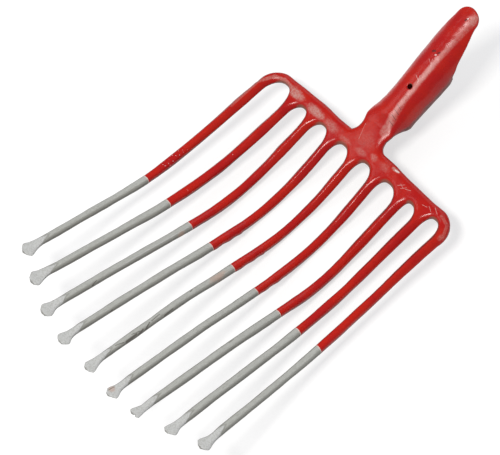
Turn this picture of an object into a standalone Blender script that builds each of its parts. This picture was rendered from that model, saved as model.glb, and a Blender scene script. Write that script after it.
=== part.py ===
"""Stone fork head: nine drawn tines on a forged crossbar, with a rolled and strapped socket.

The head lies on its tines with the load side up. X runs across the tines, the tines point
to -Y and the socket rises towards +Y. The origin is the middle of the handle's seat, the
flat bottom of the socket's bore. Run it with: blender --background --python part.py
"""

import math
from dataclasses import dataclass

import bmesh
import bpy
from mathutils import Matrix, Vector

MM = 0.001
WELD_GAP = 0.3 * MM

# Head plane: the crossbar, the neck and the socket share one slope.
LIFT = math.radians(37.0)
OUTER_LIFT = math.radians(16.0)
BAR_RISE = 64.2 * MM
REST_TILT = math.radians(-17.2)

# Crossbar, measured forward from its centre line along the ground.
BAR_BACK = 5.3 * MM
BAR_BACK_AT_ENDS = 3.4 * MM
ARCH_DEPTH = 12.0 * MM
ARCH_FOOT = 18.0 * MM
STUB_END = 28.0 * MM
BAR_THICKNESS = 9.0 * MM
BAR_CROWN = 0.8 * MM
CORNER_RADIUS = 26.0 * MM
CORNER_END = 0.6

# Tines: sections are half sizes, and lengths run along the ground from the crossbar.
ROOT_PITCH = 35.7 * MM
TIP_PITCH = 39.0 * MM
TINE_LENGTH = 383.0 * MM
OUTER_SHORTFALL = 36.0 * MM
OUTER_POWER = 2.3
ROOT_HALF_WIDTH = 6.3 * MM
ROOT_HALF_HEIGHT = 5.9 * MM
SHANK_HALF_WIDTH = 5.7 * MM
SHANK_HALF_HEIGHT = 5.5 * MM
DRAWN_HALF_WIDTH = 5.1 * MM
DRAWN_HALF_HEIGHT = 4.6 * MM
PAINT_LINE = 185.0 * MM
END_LENGTH = 27.0 * MM
END_WIDTH = 19.0 * MM
END_ROUNDING = 0.6
END_HALF_THICKNESS = 1.7 * MM
RING_POINTS = 12

# Neck and socket, measured up the head plane from the crossbar's centre line.
NECK_HALF_WIDTH = 19.6 * MM
NECK_FLARE = 21.7 * MM
NECK_SHIFT = -1.0 * MM
NECK_THICKNESS = 10.0 * MM
NECK_WAIST = 16.0 * MM
NECK_WELD = 26.0 * MM
SHOULDER_FLARE = 23.6 * MM
SHOULDER_SHIFT = -1.8 * MM
SHOULDER = 43.0 * MM
SEAT = 50.0 * MM
MOUTH = 116.5 * MM
STRAP_END = 187.0 * MM
STRAP_ROUND = 15.0 * MM
SOCKET_DROP = 13.2 * MM
SOCKET_LEAN = 0.01
BORE_AT_SEAT = 38.0 * MM
BORE_AT_MOUTH = 42.6 * MM
SOCKET_WALL = 2.6 * MM
SEAM_WIDTH = 1.6 * MM
STRAP_HALF_ANGLE = math.radians(85.0)
STRAP_END_HALF_ANGLE = math.radians(41.5)
STRAP_TWIST = math.radians(3.0)
NAIL_HOLE = 5.6 * MM
NAIL_HOLE_AT = 80.7 * MM


@dataclass(frozen=True)
class Tine:
    """One drawn tine: places in pitches from the middle, and the rest as shares.

    reach is the share of the middle tine's length at which the tine lies flat, flare is the
    width of its end as a share of the widest, and arch is the depth of the gap to the next
    tine as a share of the deepest.
    """

    root: float
    tip: float
    bow: float
    reach: float
    flare: float
    arch: float = 1.0

    @property
    def root_x(self):
        """Sideways place at the crossbar."""
        return self.root * ROOT_PITCH

    @property
    def length(self):
        """Length along the ground, shorter towards the outer tines."""
        outward = abs(round(self.root)) / OUTER_PLACE
        return TINE_LENGTH - OUTER_SHORTFALL * outward**OUTER_POWER


OUTER_PLACE = 4
# Hand-forged, so the spacing and the set differ a little from tine to tine.
TINES = (
    Tine(root=-4.1, tip=-4.09, bow=0.0, reach=0.634, flare=1.0, arch=0.72),
    Tine(root=-2.90, tip=-3.10, bow=0.0, reach=0.564, flare=1.0),
    Tine(root=-2.02, tip=-2.05, bow=0.056, reach=0.418, flare=0.94, arch=0.92),
    Tine(root=-1.04, tip=-1.04, bow=0.056, reach=0.376, flare=0.87, arch=0.97),
    Tine(root=-0.01, tip=0.115, bow=-0.022, reach=0.379, flare=0.81, arch=0.9),
    Tine(root=0.99, tip=1.165, bow=0.0, reach=0.376, flare=0.81, arch=0.92),
    Tine(root=2.09, tip=2.09, bow=0.0, reach=0.405, flare=0.68, arch=0.97),
    Tine(root=2.95, tip=3.065, bow=-0.073, reach=0.574, flare=0.77, arch=0.74),
    Tine(root=3.95, tip=3.92, bow=-0.13, reach=0.661, flare=0.81),
)
HALF_SPREAD = max(abs(tine.root_x) for tine in TINES)

ENAMEL_RED = (0.56, 0.012, 0.016)
SILVER_PAINT = (0.42, 0.42, 0.42)


def clear_scene():
    """Remove the start-up objects."""
    for item in list(bpy.data.objects):
        bpy.data.objects.remove(item, do_unlink=True)


def new_collection(name):
    """Add an empty collection to the scene."""
    group = bpy.data.collections.new(name)
    bpy.context.scene.collection.children.link(group)
    return group


def paint(name, colour, roughness, metallic):
    """Make one painted finish."""
    material = bpy.data.materials.new(name)
    material.use_nodes = True
    shader = material.node_tree.nodes["Principled BSDF"]
    shader.inputs["Base Color"].default_value = (*colour, 1.0)
    shader.inputs["Roughness"].default_value = roughness
    shader.inputs["Metallic"].default_value = metallic
    material.diffuse_color = (*colour, 1.0)
    return material


def link_mesh(name, form, group, parent, materials):
    """Turn a bmesh into a named, smooth-shaded object under its parent."""
    if all(edge.is_manifold for edge in form.edges):
        bmesh.ops.recalc_face_normals(form, faces=form.faces)
    mesh = bpy.data.meshes.new(name)
    form.to_mesh(mesh)
    form.free()
    for material in materials:
        mesh.materials.append(material)
    mesh.shade_smooth()
    item = bpy.data.objects.new(name, mesh)
    item.parent = parent
    group.objects.link(item)
    return item


def link_cutter(name, form, group, parent):
    """Turn a bmesh into a hidden wire object that only cuts or joins."""
    item = link_mesh(name, form, group, parent, ())
    item.hide_render = True
    item.display_type = "WIRE"
    return item


def add_boolean(item, tool, operation):
    """Cut or join an object with a tool object."""
    step = item.modifiers.new(tool.name, "BOOLEAN")
    step.operation = operation
    step.solver = "EXACT"
    step.object = tool


def sharpen(item, degrees):
    """Keep the edges that are sharper than an angle crisp under smooth shading."""
    item.data.set_sharp_from_angle(angle=math.radians(degrees))


def smoothstep(value):
    """Ease from 0 to 1 with level ends."""
    value = min(max(value, 0.0), 1.0)
    return value * value * (3.0 - 2.0 * value)


def mix(start, end, share):
    """Blend two numbers."""
    return start + (end - start) * share


def outward_share(x):
    """Share of the way from the middle of the bar to its end, squared."""
    return min(abs(x) / HALF_SPREAD, 1.0) ** 2


def slope_at(x):
    """Slope of the head across its width: steep in the middle and flatter at the ends."""
    return mix(math.tan(LIFT), math.tan(OUTER_LIFT), outward_share(x))


def head_point(x, forward, rise):
    """Point on the head plane: a distance forward of the bar and a rise along its normal."""
    slope = slope_at(x)
    turn = math.atan(slope)
    height = ROOT_HALF_HEIGHT + BAR_RISE - forward * slope
    return Vector((x, -forward - rise * math.sin(turn), height + rise * math.cos(turn)))


def tine_x(tine, forward):
    """Sideways place of a tine's axis: a line from its root to its tip with a slight bow."""
    share = forward / tine.length
    bow = tine.bow * ROOT_PITCH * math.sin(math.pi * share)
    return mix(tine.root_x, tine.tip * TIP_PITCH, share) + bow


def tine_drop(tine, forward):
    """Height of a tine's underside: a cubic from the crossbar's slope to level ground."""
    reach = tine.reach * TINE_LENGTH
    share = min(forward / reach, 1.0)
    level = 2.0 * share**3 - 3.0 * share**2 + 1.0
    lead = share**3 - 2.0 * share**2 + share
    return BAR_RISE * level - slope_at(tine.root_x) * reach * lead


def section_ring(half_width, half_height, power, points=RING_POINTS):
    """Superellipse outline: power 1 is a diamond, 2 an oval and more is squarer."""
    ring = []
    for index in range(points):
        angle = 2.0 * math.pi * index / points
        across, up = math.cos(angle), math.sin(angle)
        size = (abs(across) ** power + abs(up) ** power) ** (-1.0 / power)
        ring.append((half_width * across * size, half_height * up * size))
    return ring


def loft(rings):
    """Skin a closed solid over rings of equal point counts, with flat ends."""
    form = bmesh.new()
    loops = [[form.verts.new(point) for point in ring] for ring in rings]
    count = len(loops[0])
    for first, second in zip(loops, loops[1:]):
        for index in range(count):
            after = (index + 1) % count
            form.faces.new((first[index], first[after], second[after], second[index]))
    form.faces.new(loops[0])
    form.faces.new(loops[-1])
    return form


def tine_section(tine, forward):
    """Half width, half height and power of a tine's section at a distance forward."""
    shank = smoothstep((forward - STUB_END) / (60.0 * MM))
    drawn = smoothstep((forward - 120.0 * MM) / (110.0 * MM))
    half_width = mix(mix(ROOT_HALF_WIDTH, SHANK_HALF_WIDTH, shank), DRAWN_HALF_WIDTH, drawn)
    half_height = mix(mix(ROOT_HALF_HEIGHT, SHANK_HALF_HEIGHT, shank), DRAWN_HALF_HEIGHT, drawn)
    power = mix(1.45, 1.85, drawn)
    left = tine.length - forward
    if left >= END_LENGTH:
        return half_width, half_height, power
    share = 1.0 - left / END_LENGTH
    flat = smoothstep(share / 0.8)
    half_end = 0.5 * tine.flare * END_WIDTH
    half_width = mix(half_width, half_end, flat)
    half_height = mix(half_height, END_HALF_THICKNESS, smoothstep(share / 0.6))
    rounding = END_ROUNDING * half_end
    if left < rounding:
        across = 1.0 - left / rounding
        half_width *= (1.0 - across**2.4) ** (1.0 / 2.4)
    return half_width, half_height, mix(power, 2.6, flat)


def tine_stations(tine):
    """Distances forward at which a tine's section is drawn."""
    reach = tine.reach * TINE_LENGTH
    length = tine.length
    start = STUB_END + WELD_GAP
    bend_steps = 12
    stations = [mix(start, reach, step / bend_steps) for step in range(bend_steps + 1)]
    end_start = length - END_LENGTH
    run_steps = max(2, round((end_start - reach) / (40.0 * MM)))
    stations += [mix(reach, end_start, step / run_steps) for step in range(1, run_steps + 1)]
    stations.append(PAINT_LINE)
    end_shares = (0.18, 0.34, 0.48, 0.62, 0.76, 0.86, 0.93, 0.97, 0.992)
    stations += [length - END_LENGTH * (1.0 - share) for share in end_shares]
    kept = []
    for station in sorted(stations):
        near_line = abs(station - PAINT_LINE) < 4.0 * MM and station != PAINT_LINE
        if not near_line:
            kept.append(station)
    return kept


def tine_ring(tine, forward):
    """Section of a tine, square to its path at a distance forward."""
    half_width, half_height, power = tine_section(tine, forward)
    step = 0.5 * MM
    lean = (tine_drop(tine, forward + step) - tine_drop(tine, forward - step)) / (2.0 * step)
    drift = (tine_x(tine, forward + step) - tine_x(tine, forward - step)) / (2.0 * step)
    path = Vector((drift, -1.0, lean)).normalized()
    across = Vector((0.0, 0.0, 1.0)).cross(path).normalized()
    up = path.cross(across)
    axis_height = 0.5 * (half_height + max(half_height, DRAWN_HALF_HEIGHT))
    centre = Vector((tine_x(tine, forward), -forward, tine_drop(tine, forward) + axis_height))
    outline = section_ring(half_width, half_height, power)
    return [centre + across * side + up * rise for side, rise in outline]


def build_tine(index, tine, group, parent, enamel, silver):
    """Drawn tine: a diamond bar that bends to the ground and ends in a flat fan."""
    stations = tine_stations(tine)
    form = loft([tine_ring(tine, forward) for forward in stations])
    for face in form.faces:
        if face.calc_center_median().y < -PAINT_LINE:
            face.material_index = 1
    name = f"tine_{index}"
    item = link_mesh(name, form, group, parent, (enamel, silver))
    sharpen(item, 50.0)
    return item


@dataclass
class Column:
    """One lengthwise line of the crossbar's cage."""

    x: float
    back: float
    middle: float
    front: float
    tine: Tine = None


def corner_drop(x):
    """Distance that the rounded end of the bar falls forward at a place across it."""
    outer = TINES[0] if x < 0.0 else TINES[-1]
    inside = abs(outer.root_x) + ROOT_HALF_WIDTH - CORNER_RADIUS
    over = min(max(abs(x) - inside, 0.0), CORNER_RADIUS)
    drop = CORNER_RADIUS - math.sqrt(CORNER_RADIUS**2 - over**2)
    return min(drop, CORNER_END * CORNER_RADIUS)


def bar_column(x, front, tine=None):
    """Column of the bar's cage from its back edge to a given front."""
    back = mix(BAR_BACK, BAR_BACK_AT_ENDS, outward_share(x))
    drop = corner_drop(x)
    return Column(x, drop - back, drop, front, tine)


def crossbar_columns():
    """Columns across the bar: three on each tine and two in each gap."""
    columns = []
    for index, tine in enumerate(TINES):
        root = tine.root_x
        for side in (-1.0, 0.0, 1.0):
            columns.append(bar_column(root + side * ROOT_HALF_WIDTH, ARCH_FOOT, tine))
        if index + 1 < len(TINES):
            left = root + ROOT_HALF_WIDTH
            right = TINES[index + 1].root_x - ROOT_HALF_WIDTH
            for share in (0.28, 0.72):
                columns.append(bar_column(mix(left, right, share), tine.arch * ARCH_DEPTH))
    return columns


def build_crossbar(group, parent, enamel):
    """Forged crossbar: a coarse cage with nine stubs and the neck, rounded by subdivision."""
    form = bmesh.new()
    columns = crossbar_columns()
    half = 0.5 * BAR_THICKNESS
    rows = []
    for column in columns:
        crown = half + BAR_CROWN
        places = [(column.back, half), (column.middle, crown), (column.front, half)]
        pairs = []
        for forward, rise in places:
            top = form.verts.new(head_point(column.x, forward, rise))
            bottom = form.verts.new(head_point(column.x, forward, -rise))
            pairs.append((top, bottom))
        rows.append(pairs)
    neck = neck_columns(columns)
    add_bar_faces(form, columns, rows, neck)
    crisp = add_stubs(form, columns, rows)
    crisp += add_neck(form, rows, neck)
    crease = form.edges.layers.float.new("crease_edge")
    for face in crisp:
        for edge in face.edges:
            if len([near for near in edge.link_faces if near in crisp]) == 1:
                edge[crease] = 1.0
    item = link_mesh("crossbar", form, group, parent, (enamel,))
    rounding = item.modifiers.new("forged rounding", "SUBSURF")
    rounding.levels = 1
    rounding.render_levels = 1
    return item


def neck_columns(columns):
    """First and last cage column that the neck grows from."""
    inside = [index for index, column in enumerate(columns) if abs(column.x) < 1.3 * NECK_HALF_WIDTH]
    return inside[0], inside[-1]


def add_quad(form, first, second):
    """Wall between two top and bottom pairs."""
    return form.faces.new((first[0], second[0], second[1], first[1]))


def add_skin(form, near, far, near_next, far_next):
    """Top and bottom faces between four top and bottom pairs."""
    form.faces.new((near[0], far[0], far_next[0], near_next[0]))
    form.faces.new((near[1], far[1], far_next[1], near_next[1]))


def add_bar_faces(form, columns, rows, neck):
    """Skin of the bar with its back wall and the walls of the arches."""
    for index in range(len(columns) - 1):
        here, there = rows[index], rows[index + 1]
        add_skin(form, here[0], there[0], here[1], there[1])
        add_skin(form, here[1], there[1], here[2], there[2])
        if not neck[0] <= index < neck[1]:
            add_quad(form, here[0], there[0])
        on_tine = columns[index].tine is not None and columns[index].tine is columns[index + 1].tine
        if not on_tine:
            add_quad(form, here[2], there[2])
    for end in (rows[0], rows[-1]):
        add_quad(form, end[0], end[1])
        add_quad(form, end[1], end[2])


def add_stubs(form, columns, rows):
    """Stubs that the tines are welded to, with their flat ends."""
    caps = []
    for index in range(len(columns) - 2):
        tine = columns[index].tine
        if tine is None or columns[index + 2].tine is not tine:
            continue
        ends = stub_end(form, tine)
        feet = [rows[index + side][2] for side in range(3)]
        for side in range(2):
            add_skin(form, feet[side], feet[side + 1], ends[side], ends[side + 1])
            caps.append(add_quad(form, ends[side], ends[side + 1]))
        add_quad(form, feet[0], ends[0])
        add_quad(form, feet[2], ends[2])
    return caps


def stub_end(form, tine):
    """End section of a stub, a six-sided cage of the tine's own diamond."""
    outline = tine_ring(tine, STUB_END)
    centre = sum(outline, Vector()) / len(outline)
    across = (outline[0] - centre).normalized()
    up = (outline[RING_POINTS // 4] - centre).normalized()
    pairs = []
    for side, rise in ((1.0, 0.3), (0.0, 1.2), (-1.0, 0.3)):
        reach = across * side * ROOT_HALF_WIDTH
        lift = up * rise * ROOT_HALF_HEIGHT
        pairs.append((form.verts.new(centre + reach + lift), form.verts.new(centre + reach - lift)))
    if across.x > 0.0:
        pairs.reverse()
    return pairs


def add_neck(form, rows, neck):
    """Neck that rises from the bar to the socket, with its flat end."""
    first, last = neck
    previous = [rows[index][0] for index in range(first, last + 1)]
    rise = 0.5 * NECK_THICKNESS
    for distance, half_width in ((NECK_WAIST, NECK_HALF_WIDTH), (NECK_WELD, NECK_FLARE)):
        pairs = []
        for index in range(last - first + 1):
            share = 2.0 * index / (last - first) - 1.0
            height = rise * mix(1.0, 0.75, share * share)
            x = share * half_width + NECK_SHIFT
            pairs.append(tuple(form.verts.new(plane_point(x, distance, sign * height)) for sign in (1, -1)))
        for index in range(len(pairs) - 1):
            add_skin(form, previous[index], previous[index + 1], pairs[index], pairs[index + 1])
        add_quad(form, previous[0], pairs[0])
        add_quad(form, previous[-1], pairs[-1])
        previous = pairs
    return [add_quad(form, previous[index], previous[index + 1]) for index in range(len(previous) - 1)]


def plane_point(x, distance, rise):
    """Point in the middle of the head plane, a distance up it from the bar."""
    return HEAD_FRAME @ Vector((x, distance, rise))


HEAD_FRAME = Matrix.Translation((0.0, 0.0, ROOT_HALF_HEIGHT + BAR_RISE)) @ Matrix.Rotation(LIFT, 4, "X")


def socket_lean(distance):
    """Sideways shift of the socket's axis, which leans a little from the neck's weld."""
    return SOCKET_LEAN * (distance - NECK_WELD)


def bore_radius(distance):
    """Radius of the bore at a distance up the socket: tapered to the mouth, then even."""
    share = min((distance - SEAT) / (MOUTH - SEAT), 1.0)
    return 0.5 * mix(BORE_AT_SEAT, BORE_AT_MOUTH, share)


def strap_half_angle(distance):
    """Half angle of the strap: it narrows from the mouth and ends in a round tip."""
    taper_end = STRAP_END - STRAP_ROUND
    share = (distance - MOUTH) / (taper_end - MOUTH)
    angle = mix(STRAP_HALF_ANGLE, STRAP_END_HALF_ANGLE, min(share, 1.0))
    past = max(distance - taper_end, 0.0) / STRAP_ROUND
    return angle * math.sqrt(max(1.0 - past * past, 0.02))


def sheet_angles(distance, turned_rows):
    """Angles of one row of the rolled sheet, from the load side round to the seam."""
    front_steps = 16
    front = strap_half_angle(max(distance, MOUTH))
    angles = [mix(-front, front, step / front_steps) for step in range(front_steps + 1)]
    if not turned_rows:
        return [], angles, []
    back_steps = 8
    seam = 0.5 * SEAM_WIDTH / bore_radius(distance)
    wrap = [mix(front, math.pi - seam, step / back_steps) for step in range(1, back_steps + 1)]
    return [-angle for angle in reversed(wrap)], angles, wrap


def sheet_rows():
    """Distances of the sheet's rows and whether each is still rolled right round."""
    rolled = [mix(SHOULDER, MOUTH, step / 4) for step in range(5)]
    taper_end = STRAP_END - STRAP_ROUND
    strap = [mix(MOUTH, taper_end, step / 4) for step in range(1, 5)]
    tip = [taper_end + STRAP_ROUND * share for share in (0.35, 0.6, 0.8, 0.92, 0.99)]
    return [(distance, True) for distance in rolled] + [(distance, False) for distance in strap + tip]


def rolled_sheet():
    """Open sheet of the socket and its strap, the outer skin of the rolled wall."""
    form = bmesh.new()
    previous = None
    for distance, turned in sheet_rows():
        left, front, right = sheet_angles(distance, turned)
        radius = bore_radius(distance) + SOCKET_WALL
        row = []
        for angle in left + front + right:
            turned_to = angle + STRAP_TWIST
            across = radius * math.sin(turned_to) + socket_lean(distance)
            rise = radius * math.cos(turned_to) - SOCKET_DROP
            row.append(form.verts.new((across, distance, rise)))
        if previous is not None:
            below = previous[len(previous) // 2 - len(row) // 2:]
            for index in range(len(row) - 1):
                form.faces.new((below[index], below[index + 1], row[index + 1], row[index]))
        previous = row
    return form


def neck_plug():
    """Solid foot of the socket: lofted from the flat neck to the round seat."""
    inside = bore_radius(SEAT) + 0.55 * SOCKET_WALL
    shoulder = bore_radius(SHOULDER) + 0.7 * SOCKET_WALL
    early, late = mix(NECK_WELD, SHOULDER, 0.4), mix(NECK_WELD, SHOULDER, 0.75)
    thick = 0.5 * NECK_THICKNESS
    stages = (
        (NECK_WELD + WELD_GAP, NECK_SHIFT, NECK_FLARE, thick, 0.0, 2.8),
        (early, 0.7 * SHOULDER_SHIFT, 0.95 * SHOULDER_FLARE, 1.7 * thick, 0.25, 2.6),
        (late, SHOULDER_SHIFT, SHOULDER_FLARE, 0.72 * inside, 0.62, 2.3),
        (SHOULDER, 0.3 * SHOULDER_SHIFT, shoulder, shoulder, 0.98, 2.1),
        (SEAT, 0.0, inside, inside, 1.0, 2.0),
    )
    rings = []
    for distance, shift, half_width, half_height, drop, power in stages:
        outline = section_ring(half_width, half_height, power, 48)
        centre = -drop * SOCKET_DROP
        middle = socket_lean(distance) + shift
        rings.append([Vector((middle + side, distance, centre + rise)) for side, rise in outline])
    return loft(rings)


def nail_hole():
    """Round cutter through the load side of the socket."""
    form = bmesh.new()
    depth = BORE_AT_MOUTH
    turn = Matrix.Rotation(STRAP_TWIST, 4, "Y")
    outward = Matrix.Translation((0.0, 0.0, 0.5 * depth))
    axis = Matrix.Translation((socket_lean(NAIL_HOLE_AT), NAIL_HOLE_AT, -SOCKET_DROP))
    place = axis @ turn @ outward
    radius = 0.5 * NAIL_HOLE
    bmesh.ops.create_cone(
        form, cap_ends=True, segments=20, radius1=radius, radius2=radius, depth=depth, matrix=place
    )
    return form


def build_socket(group, cutters, parent, enamel):
    """Rolled socket with its strap: a solidified sheet joined to its solid foot."""
    item = link_mesh("socket", neck_plug(), group, parent, (enamel,))
    sheet = link_cutter("rolled sheet", rolled_sheet(), cutters, parent)
    wall = sheet.modifiers.new("wall", "SOLIDIFY")
    wall.thickness = SOCKET_WALL
    wall.offset = -1.0
    add_boolean(item, sheet, "UNION")
    hole = link_cutter("nail hole", nail_hole(), cutters, parent)
    add_boolean(item, hole, "DIFFERENCE")
    return item


def build_fork():
    """Build the whole head in its resting pose."""
    clear_scene()
    group = new_collection("stone_fork_head")
    cutters = new_collection("cutters")
    enamel = paint("red enamel", ENAMEL_RED, 0.22, 0.0)
    silver = paint("silver paint", SILVER_PAINT, 0.45, 0.6)
    root = bpy.data.objects.new("rest", None)
    group.objects.link(root)
    seat = HEAD_FRAME @ Vector((socket_lean(SEAT), SEAT, -SOCKET_DROP))
    root.matrix_world = Matrix.Rotation(REST_TILT, 4, "X") @ Matrix.Translation(-seat)
    plane = bpy.data.objects.new("head plane", None)
    group.objects.link(plane)
    plane.parent = root
    plane.matrix_local = HEAD_FRAME
    build_crossbar(group, root, enamel)
    build_socket(group, cutters, plane, enamel)
    for index, tine in enumerate(TINES, start=1):
        build_tine(index, tine, group, root, enamel, silver)


if __name__ == "__main__":
    build_fork()
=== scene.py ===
"""Looks of a stone fork head: red enamel and silver paint on a forged, drawn and rolled head.

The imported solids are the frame, and every piece here takes the place of one of them.
Sizes are in millimetres times MM, so that a length reads as it would on a drawing.
"""

import logging
import math
from dataclasses import dataclass
from enum import Enum

import bmesh
import bpy
import numpy as np
from mathutils import Matrix, Vector


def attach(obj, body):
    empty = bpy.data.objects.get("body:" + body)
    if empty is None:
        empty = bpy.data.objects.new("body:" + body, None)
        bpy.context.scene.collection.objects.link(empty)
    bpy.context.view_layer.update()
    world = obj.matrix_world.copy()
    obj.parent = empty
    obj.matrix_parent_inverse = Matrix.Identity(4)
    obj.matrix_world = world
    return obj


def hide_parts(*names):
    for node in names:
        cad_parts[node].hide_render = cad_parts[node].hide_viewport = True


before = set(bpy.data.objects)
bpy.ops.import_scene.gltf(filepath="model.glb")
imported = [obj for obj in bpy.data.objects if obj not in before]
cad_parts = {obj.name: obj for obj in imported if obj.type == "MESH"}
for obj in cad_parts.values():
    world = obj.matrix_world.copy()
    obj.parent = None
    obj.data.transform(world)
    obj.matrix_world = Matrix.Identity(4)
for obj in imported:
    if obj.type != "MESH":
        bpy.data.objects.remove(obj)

Array = np.ndarray
Pair = tuple[float, float]
Triple = tuple[float, float, float]
Row = tuple[float, ...]
Stroke = tuple[Pair, Pair, float]
MM = 0.001
TIP_ATTRIBUTE = "behind_tip"
FACE_ATTRIBUTE = "behind_face"
# Each piece runs on past a weld by the overlap, over a few rings that shrink out of sight.
OVERLAP = 2.0 * MM
HIDDEN_RINGS = 6
STUB_SHRINK = 0.04
NECK_SHRINK = 0.03
# Step of the differences that give a path's direction, and what counts as on a rim.
STEP = 0.5 * MM
ON_RIM = 0.003 * MM
UP, FRONT = (0.0, 0.0, 1.0), (0.0, -1.0, 0.0)
LEFT, RIGHT = (-1.0, 0.0, 0.0), (1.0, 0.0, 0.0)
LOG = logging.getLogger("stone_fork_head")
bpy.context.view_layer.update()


class Slot(Enum):
    """Material slots of the record."""

    ENAMEL = "red_enamel"
    TINE = "tine_paint"


def smoothstep(value: Array | float) -> Array:
    """Ease from 0 to 1 with level ends: 3t^2 - 2t^3."""
    share = np.clip(value, 0.0, 1.0)
    return share * share * (3.0 - 2.0 * share)


def mix(start: Array | float, end: Array | float, share: Array | float) -> Array:
    """Blend two values: start plus a share of the way to end."""
    return start + (end - start) * share


def crowded(count: int, strength: float = 1.0) -> Array:
    """Steps from 0 to 1 that crowd at both ends.

    Half of one minus the cosine of even angles, mixed with even steps.

    Args:
        count: number of intervals.
        strength: 0 for even steps and 1 for full crowding.

    Returns:
        count + 1 numbers from 0 to 1.
    """
    even = np.linspace(0.0, 1.0, count + 1)
    return mix(even, 0.5 - 0.5 * np.cos(np.pi * even), strength)


def through(values: Row, share: Array | float) -> Array:
    """Smooth curve through values at even places: one cubic between each two neighbours.

    At each value the slope is half the difference of the values on either side of it.

    Args:
        values: the values, from share 0 to share 1.
        share: where the curve is read.

    Returns:
        The curve there.
    """
    knots = np.array([values[0], *values, values[-1]])
    position = np.clip(share, 0.0, 1.0) * (len(values) - 1)
    index = np.minimum(np.floor(position).astype(int), len(values) - 2)
    step = position - index
    before, here, after, later = (knots[index + ahead] for ahead in range(4))
    slope = after - before
    bend = 2.0 * before - 5.0 * here + 4.0 * after - later
    rest = 3.0 * here - before - 3.0 * after + later
    return here + 0.5 * step * (slope + step * (bend + step * rest))


def rim_profile(inward: Array, power: Array | float) -> Array:
    """Height share of a rounded plate: one quadrant of a superellipse.

    The share rises from 0 at the rim to 1 at one rounding width in, as
    (1 - (1 - t)^p)^(1/p).

    Args:
        inward: distance from the rim in rounding widths.
        power: 1 for a bevel, 2 for a round rim, and more for a squarer one.

    Returns:
        Shares of the full height.
    """
    left = 1.0 - np.clip(inward, 0.0, 1.0)
    return np.power(np.clip(1.0 - np.power(left, power), 0.0, 1.0), 1.0 / power)


@dataclass(frozen=True)
class Hammering:
    """Uneven forged surface: plane waves that run in fixed directions through space."""

    wavelength: float
    depth: float
    seed: int
    waves: int = 14

    def lift(self, points: Array) -> Array:
        """Height of the unevenness at each point, a mean of sines.

        Args:
            points: places, with x, y and z last.

        Returns:
            Signed heights in metres.
        """
        chance = np.random.default_rng(self.seed)
        heading = chance.normal(size=(self.waves, 3))
        heading /= np.linalg.norm(heading, axis=1, keepdims=True)
        pace = 2.0 * np.pi / (self.wavelength * chance.uniform(0.7, 1.6, self.waves))
        start = chance.uniform(0.0, 2.0 * np.pi, self.waves)
        phase = points @ (heading * pace[:, None]).T + start
        return self.depth * np.sin(phase).sum(axis=-1) / math.sqrt(self.waves)


# The bar, the socket and the tines share one field of hammer marks, so that it runs on
# from piece to piece.
FORGED = (Hammering(26.0 * MM, 0.16 * MM, 3), Hammering(8.0 * MM, 0.05 * MM, 4))


class Shell:
    """A closed mesh gathered from grids of points that are welded where they meet."""

    def __init__(self, name: str) -> None:
        """Start an empty shell for a piece of this name."""
        self.name = name
        self.points: list[Array] = []
        self.faces: list[Array] = []
        self.count = 0

    def add_grid(self, grid: Array) -> None:
        """Add quads over a grid of points, with rows first and x, y and z last."""
        rows, columns = grid.shape[:2]
        index = np.arange(rows * columns).reshape(rows, columns) + self.count
        corners = (index[:-1, :-1], index[:-1, 1:], index[1:, 1:], index[1:, :-1])
        self.faces.append(np.stack(corners, axis=-1).reshape(-1, 4))
        self.points.append(grid.reshape(-1, 3))
        self.count += rows * columns

    def close(self, ring: Array) -> None:
        """Add faces from a ring, whose last point repeats its first, to its middle."""
        hub = np.broadcast_to(ring[:-1].mean(axis=0), ring.shape)
        self.add_grid(np.stack([hub, ring]))

    def build(self, weld: float = 0.002 * MM) -> bpy.types.Object:
        """Weld the grids, lift the surface by the hammer marks and make the object.

        Args:
            weld: points closer than this become one.

        Returns:
            The new object at the origin, smooth-shaded, with its faces outwards.
        """
        mesh = bpy.data.meshes.new(self.name)
        mesh.from_pydata(np.concatenate(self.points), [], np.concatenate(self.faces).tolist())
        form = bmesh.new()
        form.from_mesh(mesh)
        bmesh.ops.remove_doubles(form, verts=form.verts, dist=weld)
        bmesh.ops.dissolve_degenerate(form, dist=0.1 * weld, edges=form.edges)
        bmesh.ops.recalc_face_normals(form, faces=form.faces)
        open_edges = sum(not edge.is_manifold for edge in form.edges)
        form.to_mesh(mesh)
        form.free()
        count = len(mesh.vertices)
        points = np.empty(count * 3)
        normals = np.empty(count * 3)
        mesh.vertices.foreach_get("co", points)
        mesh.vertex_normals.foreach_get("vector", normals)
        points, normals = points.reshape(-1, 3), normals.reshape(-1, 3)
        lift = sum(layer.lift(points) for layer in FORGED)
        points = points + normals * np.reshape(lift, (-1, 1))
        mesh.vertices.foreach_set("co", points.ravel())
        mesh.shade_smooth()
        mesh.set_sharp_from_angle(angle=math.radians(60.0))
        mesh.update()
        piece = bpy.data.objects.new(self.name, mesh)
        bpy.context.scene.collection.objects.link(piece)
        faces = len(mesh.polygons)
        LOG.info("%s: %d points, %d faces, %d open edges", self.name, count, faces, open_edges)
        return piece


def fasten(
    piece: bpy.types.Object, finish: bpy.types.Material, slot: Slot, *nodes: str
) -> None:
    """Dress a piece, and ride it on the rigid body in place of its solids.

    Args:
        piece: the finished object.
        finish: its material.
        slot: slot of the record; not used.
        nodes: solids that the piece stands for.
    """
    piece.data.materials.append(finish)
    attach(piece, "root")
    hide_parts(*nodes)


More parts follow.
